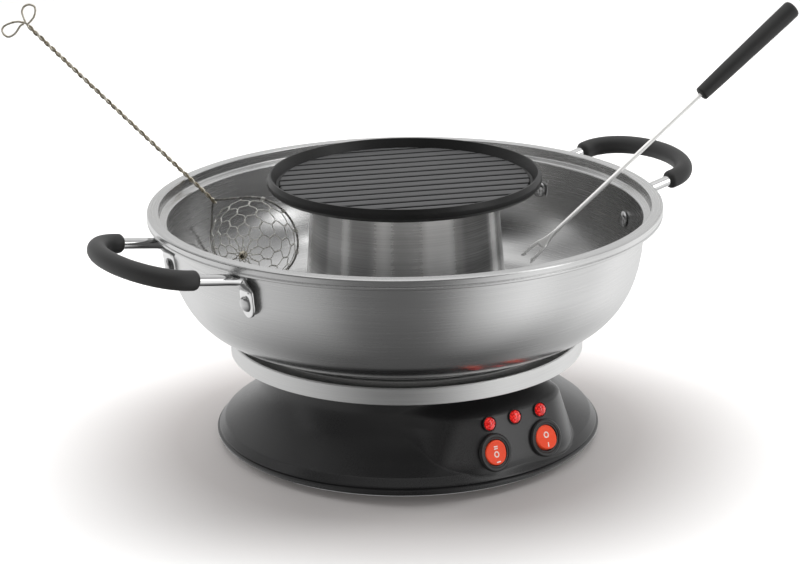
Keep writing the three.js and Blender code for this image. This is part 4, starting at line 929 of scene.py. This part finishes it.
base = {
    "footRadius": 125.2,
    "creaseHeight": 13.0,
    "footHeights": [4.0, 5.0, 6.3, 6.9, 7.0, 7.9, 8.0, 8.6, 13.0],
    "footRadii": [124.9, 125.1, 125.4, 125.0, 122.0, 121.8, 123.9, 123.6, 120.0],
    "flareHeights": [13.0, 18.5, 25.5, 32.5, 37.5, 43.0, 50.0, 57.0, 60.0],
    "flareRadii": [120.0, 112.7, 104.4, 98.3, 95.5, 93.4, 92.3, 92.0, 92.0],
    "podReach": 116.0,
    "podHeight": 30.0,
    "podTilt": math.radians(17),
    "podSquareness": 26.0,
    # azimuth in degrees from the pod's middle and reach of each side facet
    "podFacets": [(-40, 107.5), (-78, 71.0), (46, 107.5), (86, 64.0)],
    "podSpan": math.radians(76),
    "podFoot": 7.5,
    "podUnder": 9.0,
    "podRoofStart": 44.0,
    "podRoofOver": 13.0,
    "podRoofReach": 88.0,
    # the join between pod and bell: its least width, what it gains, and the heights of that gain
    "join": (0.6, 9.9, 24.0, 14.0),
    "wall": 2.5,
    "lipRadius": 83.0,
    "topInset": 91.4,
    "neckTop": 59.7,
    "neckUnder": 57.2,
    "edgeEase": {0: 0.5, 1: 0.12, -1: 0.3},  # rows of the outside that are drawn in, and how far
    "frontHalf": 0.95,  # half the angle with closer columns
    "lowRows": [
        5.0, 5.15, 5.5, 6.0, 6.3, 6.6, 6.9, 7.0, 7.45, 7.9, 8.0, 8.3, 8.6, 9.0, 9.6, 10.2, 11, 12, 12.7,
        13.0, 13.3,
    ],
    "topRows": (14, 59.2, 59.6),
    "innerRows": [57.2, 50, 44, 38, 32, 26, 20, 13, 7, 5.0],
    "bandGap": 0.3,
    "hotGap": 1.5,
    "hotCeiling": 7.6,
    "dishRise": 88.3,
    "dishFloor": 0.9,
    "cover": [
        (0, 0), (117.2, 0, 1.2), (121.5, 2.4, 1.5), (121.5, 4.7, 0.5), (119.3, 4.7, 0.3), (115.3, 2.2, 0.5),
        (0, 2.2),
    ],
    "band": [
        (44, 0), (112.4, 0, 0.4), (113.0, -1.2, 0.3), (114.6, -1.2, 0.5), (114.6, 9.2, 0.5),
        (114.1, 10, 0.5), (113.3, 10, 0.4), (113.2, 1.2, 0.8), (44, 1.2),
    ],
    "hot": [
        (69, 0), (70.6, 0), (70.6, 7.6, 0.6), (104.4, 7.6, 0.6), (104.4, 0), (106, 0), (106, 9.8, 0.8),
        (69, 9.8, 0.8),
    ],
    "column": [(47, 0), (54, 0, 0.3), (54, 1, 0.3), (48, 1, 1.2), (48, 88, 0.3), (47, 88, 0.3)],
    "dish": [(0, 0), (50.5, 0, 2.0), (54, 7, 0.3), (53.1, 7, 0.3), (49.6, 0.9, 2.0), (0, 0.9)],
}
loop = {
    "wire": 3.2,
    "clearance": 0.3,
    "grillRise": 6.6,
    "tail": 12.0,
    "gap": math.radians(8),
    "fondue": (77.0, 4.0),  # radii of the loop and of its bend
    "grill": (38.0, 6.0),
}


def trumpet(z):
    flare = curveThrough(z, base["flareHeights"], base["flareRadii"])
    foot = np.interp(z, base["footHeights"], base["footRadii"])
    return np.where(z < base["creaseHeight"], foot, flare)


def podDepth(z):
    # the face's plane, a foot below it that is rounded as 1 - sqrt(1 - t^2), then an eased roof back
    # to the neck
    face = base["podReach"] - (z - base["podHeight"]) * math.tan(base["podTilt"])
    under = np.clip((base["podFoot"] + base["podUnder"] - z) / base["podUnder"], 0, 1)
    face = face - base["podUnder"] * (1 - np.sqrt(1 - under**2))
    t = np.clip((z - base["podRoofStart"]) / base["podRoofOver"], 0, 1)
    return face + (base["podRoofReach"] - face) * eased(t)


def housingRadius(angle, z):
    # R = (sum (cos(a - turn) / D)^p)^(-1/p) over the pod's face and its side facets; the larger of it
    # and the trumpet, with the join eased over k mm: max(a, b) + (k - |a - b|)^2 / 4k
    plain = trumpet(z)
    depth = podDepth(z)
    p = base["podSquareness"]
    total = (np.clip(np.cos(angle), 0, 1) / depth) ** p
    for turn, reach in base["podFacets"]:
        facing = np.clip(np.cos(angle - math.radians(turn)), 0, 1)
        total = total + (facing / (depth - base["podReach"] + reach)) ** p
    pod = np.maximum(total, 1e-300) ** (-1 / p)
    aside = np.abs((angle + np.pi) % (2 * np.pi) - np.pi)
    pod = np.where((z > base["podFoot"]) & (aside < base["podSpan"]), pod, 0)
    least, gain, start, over = base["join"]
    k = least + gain * np.clip((z - start) / over, 0, 1)
    ease = np.clip(k - np.abs(plain - pod), 0, None) ** 2 / (4 * k)
    return np.minimum(np.maximum(plain, pod) + ease, base["footRadius"])


def housingShell():
    # columns lie closer over the pod; rows climb the outside, cross the lip and go down inside
    half = base["frontHalf"]
    front = np.linspace(-half, half, 200, endpoint=False)
    back = np.linspace(half, 2 * np.pi - half, 150, endpoint=False)
    angle = np.concatenate([front, back])[None, :]
    start, end, top = base["topRows"]
    outer = np.concatenate([base["lowRows"], np.linspace(start, end, 76), [top]])[:, None]
    radius = housingRadius(angle, outer)
    for row, ease in base["edgeEase"].items():
        radius[row] -= ease
    inner = np.array(base["innerRows"])[:, None]
    lip, roof, under = base["lipRadius"], base["neckTop"], base["neckUnder"]
    rows = [(radius, outer), (base["topInset"], roof), (lip, roof), (lip, under),
            (housingRadius(angle, inner) - base["wall"], inner)]
    r = np.concatenate([reach + 0 * angle for reach, height in rows])
    z = np.concatenate([height + 0 * angle for reach, height in rows])
    return gridShell(r * np.sin(angle), -r * np.cos(angle), z, True)


def loopPath(circle, bend, height):
    # up a tail, over a quarter bend, round the circle and down the other tail
    gap, tail, corner = loop["gap"], loop["tail"], bend / circle
    turn = np.linspace(0, np.pi / 2, 8)
    rise = np.column_stack([gap + corner * (1 - np.cos(turn)), height - bend * (1 - np.sin(turn))])
    foot = np.column_stack([np.full(3, gap), height - bend - np.array([tail, tail / 2, 0.6])])
    around = np.linspace(gap + corner, 2 * np.pi - gap - corner, 130)[1:-1]
    ring = np.column_stack([around, 0 * around + height])
    back = np.concatenate([foot, rise])[::-1] * (-1, 1) + (2 * np.pi, 0)
    angle, z = np.concatenate([foot, rise, ring, back]).T
    return np.column_stack([circle * np.cos(angle), circle * np.sin(angle), z])


addPiece("housing", housingShell(), housingBlack, "base", "base_housing")
bandLow = base["neckTop"] + base["bandGap"]
hotLow = bandLow + base["hotGap"]
dishLow = hotLow + base["dishRise"]
for name, outline, low, closed, segments, material, node, slot in (
    ("bottomCover", "cover", 0.0, False, 200, housingBlack, "bottom_cover", "black_plastic"),
    ("supportBand", "band", bandLow, True, 220, steelBand, "support_band", "satin_band"),
    ("heatingPlate", "hot", hotLow, True, 160, castAluminium, "heating_plate", "cast_aluminium"),
    ("grillColumn", "column", hotLow, True, 120, steelPlain, "grill_column", "brushed_steel"),
    ("grillReflector", "dish", dishLow, False, 120, steelPlain, "grill_reflector", "brushed_steel"),
):
    addPiece(name, turned(base[outline], closed, segments, low=low), material, "base", node)

fondueHeight = hotLow + base["hotCeiling"] - loop["clearance"] - loop["wire"]
grillHeight = dishLow + base["dishFloor"] + loop["grillRise"]
for loopName, height in (("fondue", fondueHeight), ("grill", grillHeight)):
    path = loopPath(*loop[loopName], height)
    shell = sweep(path, unit(path * (1, 1, 0)), loop["wire"], sides=18)
    addPiece(f"{loopName}Loop", shell, sheathGrey, "base", f"{loopName}_element")
print("base made")


# Controls

controls = {
    "pitch": 20.0,
    "switchUp": -6.0,
    "lampUp": 12.1,
    "rocker": 7.8,
    "rockerEdge": 0.8,
    "rockerSide": [(0, 1.0), (0, -1.5), (0.6, -3.0)],  # how far in each row lies, and its height
    "pivot": -0.6,
    "proud": 2.6,
    "dip": math.radians(8),
    "ridge": 0.6,
    "throw": math.radians(-12),
    # outlines over the pod's face
    "bezel": [
        (0, -17), (10, -17, 0.5), (10, 0.3), (12, 0.3, 0.2), (12, 1.5, 0.7), (11.1, 2.4, 0.6),
        (9.7, 2.4, 0.4), (9.3, 2.0, 0.3), (8.25, 1.9, 0.3), (8.25, 1.2), (9.2, 0.9), (9.2, -16.2), (0, -16.2),
    ],
    "lampRim": [
        (4.15, -12), (4.45, -12), (4.5, 0.3), (5.0, 0.3, 0.1), (5.0, 1.0, 0.3), (4.6, 1.3, 0.2),
        (4.2, 0.9, 0.2),
    ],
    # radius, height and turn in facets of each row of the lens
    "lens": [
        (0, -6, 0), (3.1, -6, 0), (4.1, 0.9, 0), (3.6, 1.8, 0), (2.3, 2.6, 0.5), (0.95, 3.0, 0), (0, 3.05, 0),
    ],
    "facets": 10,
}
marks = {
    "halfWidth": 0.44,
    "halfThickness": 0.09,
    "sink": 0.02,
    "ringShare": 0.95,
    "slant": 0.3,
    # form, place across and up the key, and half length or radius
    "fondue": [("across", 0.0, 3.7, 1.4), ("across", 0.0, 2.4, 1.4), ("ring", 0.0, -1.2, 1.6),
               ("across", 0.0, -6.0, 1.5)],
    "grill": [("ring", 0.3, 1.3, 1.65), ("upright", -0.6, -5.0, 1.5)],
}


def podMatrix(across, up):
    # X across the face, Y up it and Z out of it
    turn = Matrix.Rotation(math.pi / 2 - base["podTilt"], 4, "X")
    offset = turn @ Vector((across, up, 0))
    return Matrix.Translation(offset + Vector((0, -base["podReach"], base["podHeight"]))) @ turn


def rockerHeight(y):
    # the two halves of the key rise from its middle: h = proud + tan(dip) sqrt(y^2 + ridge)
    return controls["proud"] + math.tan(controls["dip"]) * np.sqrt(y * y + controls["ridge"])


def rockerShell():
    # rings from the middle out over a rounded edge and down the side
    edge = controls["rockerEdge"]
    flatRadius = controls["rocker"] - edge
    angle = np.linspace(0, 2 * np.pi, 72, endpoint=False)[None, :]
    t = np.linspace(0, np.pi / 2, 7)[1:, None]
    flat = np.linspace(0, flatRadius, 14)[:, None]
    rings = np.concatenate([flat, flatRadius + edge * np.sin(t)])
    drop = np.concatenate([0 * flat, edge * (1 - np.cos(t))])
    inset, low = np.array(controls["rockerSide"]).T[:, :, None]
    r = np.concatenate([rings + 0 * angle, controls["rocker"] - inset + 0 * angle, 0 * angle])
    z = np.concatenate([rockerHeight(rings * np.sin(angle)) - drop, low + 0 * angle, low[-1:] + 0 * angle])
    return gridShell(r * np.cos(angle), r * np.sin(angle), z)


def markShells(kind):
    # thin raised strokes that follow the key's face
    shells = []
    for shape, x, y, size in kind:
        run, still = np.linspace(-size, size, 12), np.zeros(12)
        if shape == "ring":
            a = np.linspace(0, 2 * np.pi, 40, endpoint=False)
            line = np.column_stack([x + size * marks["ringShare"] * np.cos(a), y + size * np.sin(a)])
        elif shape == "across":
            line = np.column_stack([x + run, y + still])
        else:
            line = np.column_stack([x + marks["slant"] * run, y + run])
        path = np.column_stack([line, rockerHeight(line[:, 1]) + marks["sink"]])
        size = marks["halfWidth"], marks["halfThickness"]
        shells.append(sweep(path, (0, 0, 1.0), *size, power=2.5, sides=8, closed=shape == "ring"))
    return joined(shells)


def lensShell():
    # a dome of flat facets, whose upper row is turned by half a facet
    facet = 2 * np.pi / controls["facets"]
    r, z, shift = np.array(controls["lens"]).T[:, :, None]
    angle = (np.arange(controls["facets"]) + shift) * facet
    return gridShell(r * np.cos(angle), r * np.sin(angle), z)


for switchName, side in (("fondue", -1), ("grill", 1)):
    place = podMatrix(side * controls["pitch"], controls["switchUp"])
    bezel = placed(turned(controls["bezel"], False, 80), place)
    addPiece(f"{switchName}Bezel", bezel, bezelBlack, "base", f"{switchName}_switch_body")
    rest = controls["throw"] if switchName == "grill" else 0.0
    tip = place @ Matrix.Translation((0, 0, controls["pivot"])) @ Matrix.Rotation(rest, 4, "X")
    body = f"{switchName}_rocker"
    addPiece(f"{switchName}Key", placed(rockerShell(), tip), rockerRed, body, body)
    addPiece(f"{switchName}Marks", placed(markShells(marks[switchName]), tip), markWhite, body)
for lampName, step in (("left", -1), ("middle", 0), ("right", 1)):
    place = podMatrix(step * controls["pitch"], controls["lampUp"])
    rim = placed(turned(controls["lampRim"], True, 56), place)
    addPiece(f"{lampName}LampRim", rim, bezelBlack, "base", f"{lampName}_lamp_body")
    lens = placed(lensShell(), place)
    addPiece(f"{lampName}LampLens", lens, lampRed, "base", f"{lampName}_lamp_lens", smooth=False)
print("controls made")


# Fork

lean = {
    "edge": 157.8 * math.cos(math.pi / 40),
    "gap": 0.3,
}


def leaningMatrix(tool, radius):
    # X leaves the flange's inner edge up along the utensil
    turn, heading, rise, roll = (math.radians(tool[key]) for key in ("turn", "heading", "rise", "roll"))
    lift = (radius + lean["gap"]) / math.cos(rise)
    place = (lean["edge"] * math.cos(turn), lean["edge"] * math.sin(turn), pot["rimTop"] + lift)
    return (
        Matrix.Translation(place) @ Matrix.Rotation(heading, 4, "Z")
        @ Matrix.Rotation(-rise, 4, "Y") @ Matrix.Rotation(roll, 4, "X")
    )


fork = {
    "turn": -12.74, "heading": -9.77, "rise": 35.44, "roll": 27.4,
    "below": 89.17,
    "handleFrom": 164.0,
    "rod": 1.5,
    # place along the shaft, half width, half thickness and squareness
    "blade": [
        (13.0, 4.7, 0.75, 3.5), (14, 4.5, 0.8, 3.5), (15.5, 3.9, 0.85, 3.2), (17, 3.3, 0.95, 3),
        (19, 2.7, 1.1, 2.7), (21, 2.2, 1.3, 2.4), (23, 1.8, 1.42, 2.2), (25, 1.6, 1.5, 2),
        (28, 1.5, 1.5, 2), (60, 1.5, 1.5, 2), (110, 1.5, 1.5, 2), (160, 1.5, 1.5, 2), (182, 1.5, 1.5, 2),
    ],
    # place along a tine, its distance from the middle and its half width
    "tine": [
        (0.0, 4.55, 0.08), (0.7, 4.4, 0.6), (1.8, 4.0, 1.2), (2.6, 3.7, 1.55), (3.0, 3.85, 1.3),
        (3.6, 3.95, 1.1), (5, 3.9, 1.12), (8, 3.85, 1.16), (11, 3.6, 1.25), (13, 3.2, 1.35),
        (14.5, 2.7, 1.5), (16, 2.1, 1.5),
    ],
    "tineThickness": 0.74,
    "tineSquareness": 3.5,
    "handle": [
        (0, 0), (2.6, 0, 0.3), (4.9, 0.8, 1.2), (5.25, 14), (6.05, 67), (6.2, 81), (6.2, 89, 2.2), (0, 89),
    ],
}


def forkShaftShell():
    # the rod flattens into a blade that splits into two tines, each with a barb on its inner side
    up = (0, 0, 1.0)
    along, width, thick, power = np.array(fork["blade"]).T
    line = np.column_stack([along - fork["below"], 0 * along, 0 * along])
    shells = [sweep(line, up, width, thick, power, 24)]
    along, out, half = np.array(fork["tine"]).T
    for side in (-1, 1):
        path = np.column_stack([along - fork["below"], out * side, 0 * along])
        shells.append(sweep(path, up, half, fork["tineThickness"], fork["tineSquareness"], 16))
    return joined(shells)


forkPlace = leaningMatrix(fork, fork["rod"])
shaft = placed(forkShaftShell(), forkPlace)
grip = turned(fork["handle"], False, 48, low=fork["handleFrom"] - fork["below"])
grip = placed(grip, forkPlace @ Matrix.Rotation(math.pi / 2, 4, "Y"))
addPiece("forkShaft", shaft, forkSteel, "fork", "fork_shaft")
addPiece("forkHandle", grip, gripBlack, "fork", "fork_handle")
print("fork made")


# Skimmer

skimmer = {
    "turn": 121.1, "heading": 136.2, "rise": 44.27, "roll": -95.8,
    "below": 26.1,
    "handle": 169.0,
    "wire": 0.72,
    "strandGap": 0.12,
    "pitch": 10.0,
    "halfTwist": 1.55,
    "ring": 29.97,
    "reach": 36.0,
    "tip": (1.5, 0.6),
    # the two open end loops as the photograph shows them, in its pixels
    "endLoops": [
        [(26.6, 26.4), (24.5, 23.7), (20.7, 13.8), (22.6, 7.6), (27.6, 5.4), (32.6, 7.2), (34, 11.5),
         (32.6, 17.5), (29.1, 22.2), (26.6, 24.8)],
        [(26.6, 26.6), (25.3, 24.5), (15.3, 22.7), (4.6, 26), (0.8, 30.6), (2.6, 35.6), (7.7, 37.8),
         (13.8, 34.4), (19.1, 26.8), (22.5, 25.0)],
    ],
}
net = {
    "wires": 24,
    "levels": 6,
    "depth": 29.5,
    "wire": 0.36,
    "pole": 2.0,
    "inset": 0.9,
    "top": 1.5,
    "hold": 2.6,
    "holdPower": 6,
    "twists": 3.0,
    "quarter": 0.97,
    "uneven": 0.3,
    "wrapTurns": 2.5,
    "wrapHalf": 1.1,
    "wrapWire": 0.414,
    "tieTurns": 5,
    "tiePitch": 0.75,
    "tieRadius": 2.3,
    "tieWire": 0.45,
    "tieDrop": 2.2,
    "stubs": 9,
    "stubDrop": 3.0,
    "stubLength": 6.0,
    "stubRadii": (0.7, 1.2),
    "stubTwist": 0.6,
}
skimmerPlace = leaningMatrix(skimmer, skimmer["halfTwist"])
ringCentre = -skimmer["below"] - skimmer["reach"]
ringOpening = math.acos(skimmer["ring"] / skimmer["reach"])


def aroundPole(radius, angle, z):
    # points and outward directions round the net's own axis
    c, s = np.cos(angle), np.sin(angle)
    points = np.stack(np.broadcast_arrays(ringCentre + radius * c, radius * s, z), -1)
    return points, np.stack([c, s, 0 * angle], -1)


def ringPath(count):
    # a circle drawn out to a point at the handle
    angle = np.linspace(ringOpening, 2 * np.pi - ringOpening, count)
    arc, _ = aroundPole(skimmer["ring"], angle, 0 * angle)
    along, aside = skimmer["tip"]
    tip = np.array([[along - skimmer["below"], 0, 0]])
    return smoothLine(np.concatenate([tip + (0, aside, 0), arc, tip - (0, aside, 0)]), count * 2)


def strandPath(phase):
    # helix: y = h cos(2 pi x / pitch + phase), z = h sin(...)
    x = np.linspace(-skimmer["below"] - 1, -skimmer["below"] + skimmer["handle"], 420)
    h = skimmer["wire"] + skimmer["strandGap"] / 2
    angle = 2 * np.pi * x / skimmer["pitch"] + phase
    c, s = np.cos(angle), np.sin(angle)
    return np.column_stack([x, h * c, h * s]), np.column_stack([0 * x, c, s])


def endLoopPaths():
    # a pixel is depth / focal length wide at the handle's end, in the plane that faces the camera
    end = skimmerPlace @ Vector((-skimmer["below"] + skimmer["handle"], 0, 0))
    depth = (end - Vector(view["place"])).dot(cameraForward)
    across, rise = np.array(cameraAcross), np.array(cameraRise)
    for outline in skimmer["endLoops"]:
        offset = (np.array(outline) - outline[0]) * depth / view["focalPixels"]
        yield smoothLine(np.array(end) + offset[:, :1] * across - offset[:, 1:] * rise, 70)


def netShells():
    # each wire runs from the ring to the pole and sways between its left and right neighbours; a
    # smoothed square wave holds it beside a neighbour while the pair is twisted
    t = np.linspace(0, 1, 190)[None, :]
    index = np.arange(net["wires"])[:, None]
    odd = index % 2
    wave = np.tanh(net["hold"] * np.cos(np.pi * net["levels"] * t)) / math.tanh(net["hold"])
    twist = np.pi * net["levels"] * t * net["twists"] + odd * np.pi
    turn = t * np.pi / 2 * net["quarter"]
    radius = np.maximum((skimmer["ring"] - net["inset"]) * np.cos(turn), net["pole"])
    off = net["wire"] * np.abs(wave) ** net["holdPower"]
    sway = 0.5 * wave * (1 - 2 * odd)
    angle = 2 * np.pi / net["wires"] * (index - 0.5 + sway) + off * np.cos(twist) / radius
    z = (net["depth"] - net["top"]) * np.sin(turn) + net["uneven"] * np.sin(7 * index + 5 * t)
    paths, ups = aroundPole(radius + off * np.sin(twist), angle, z)
    return sweep(paths, ups + (0, 0, 0.4), net["wire"], sides=5)


def wrapShells():
    # a wrap of net wire round the ring at each pair: a small helix about the ring
    a = np.linspace(0, 2 * np.pi * net["wrapTurns"], 30)[None, :]
    count = net["wires"] // 2
    centre = 2 * np.pi * np.arange(count)[:, None] / count
    centre = centre[(centre[:, 0] > ringOpening) & (centre[:, 0] < 2 * np.pi - ringOpening)]
    h = skimmer["wire"] + net["wire"]
    angle = centre + np.linspace(-net["wrapHalf"], net["wrapHalf"], 30)[None, :] / skimmer["ring"]
    paths, ups = aroundPole(skimmer["ring"] + h * np.cos(a), angle, h * np.sin(a))
    ups = ups * np.cos(a)[..., None] + np.sin(a)[..., None] * (0, 0, 1)
    return sweep(paths, ups, net["wrapWire"], sides=5)


def knotShell():
    # the gathered wires, tied by a few turns and cut short below the tie
    turns = net["tieTurns"]
    a = np.linspace(0, 2 * np.pi * turns, 110)
    z = net["depth"] - net["tieDrop"] + np.linspace(0, turns * net["tiePitch"], 110)
    tie = sweep(*aroundPole(net["tieRadius"], a, z), net["tieWire"], sides=8)
    b = np.linspace(0, 2 * np.pi, net["stubs"], endpoint=False)[:, None]
    s = np.linspace(0, 1, 10)[None, :]
    start, spread = net["stubRadii"]
    z = net["depth"] - net["stubDrop"] + net["stubLength"] * s
    paths, _ = aroundPole(start + spread * s**2, b + net["stubTwist"] * s, z)
    ups = np.stack([np.cos(b) + 0 * s, np.sin(b) + 0 * s, 0 * b + 0 * s], -1)
    return joined([tie, sweep(paths, ups, net["wire"], sides=5)])


wire = skimmer["wire"]
skimmerPieces = [
    ("skimmerRing", sweep(ringPath(70), (0, 0, 1.0), wire, sides=12), wireRing, "skimmer_frame"),
    ("skimmerWraps", wrapShells(), wireNet, None),
    ("skimmerNet", netShells(), wireNet, "skimmer_net"),
    ("skimmerKnot", knotShell(), wireGold, None),
    # the twist's second strand is the same wire in a darker copy, painted shade
    ("strandLight", sweep(*strandPath(0.0), wire, sides=10), wireGold, None),
    ("strandPaintedShade", sweep(*strandPath(math.pi), wire, sides=10), wirePaintedShade, None),
]
for name, shell, material, node in skimmerPieces:
    addPiece(name, placed(shell, skimmerPlace), material, "skimmer", node)
for number, line in enumerate(endLoopPaths()):
    shell = sweep(line, -np.array(cameraForward), wire, sides=12)
    addPiece(f"endLoop{number + 1}", shell, wireGold, "skimmer", None)
print("skimmer made")


# Carried-over CAD nodes

finishes = {
    "rubber_foot": rubberBlack, "cover_screw": screwGrey, "cord_gland": rubberBlack,
    "terminal_block": ceramicWhite, "thermostat_lead": leadBrown, "thermostat": ceramicWhite,
    "thermal_fuse": ceramicWhite, "fondue_lead": leadBrown, "grill_lead": leadBrown,
}
for nodeName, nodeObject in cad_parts.items():
    for start, material in finishes.items():
        if nodeName.startswith(start):
            nodeObject.data.materials.clear()
            nodeObject.data.materials.append(material)
            break
print("carried-over nodes finished")
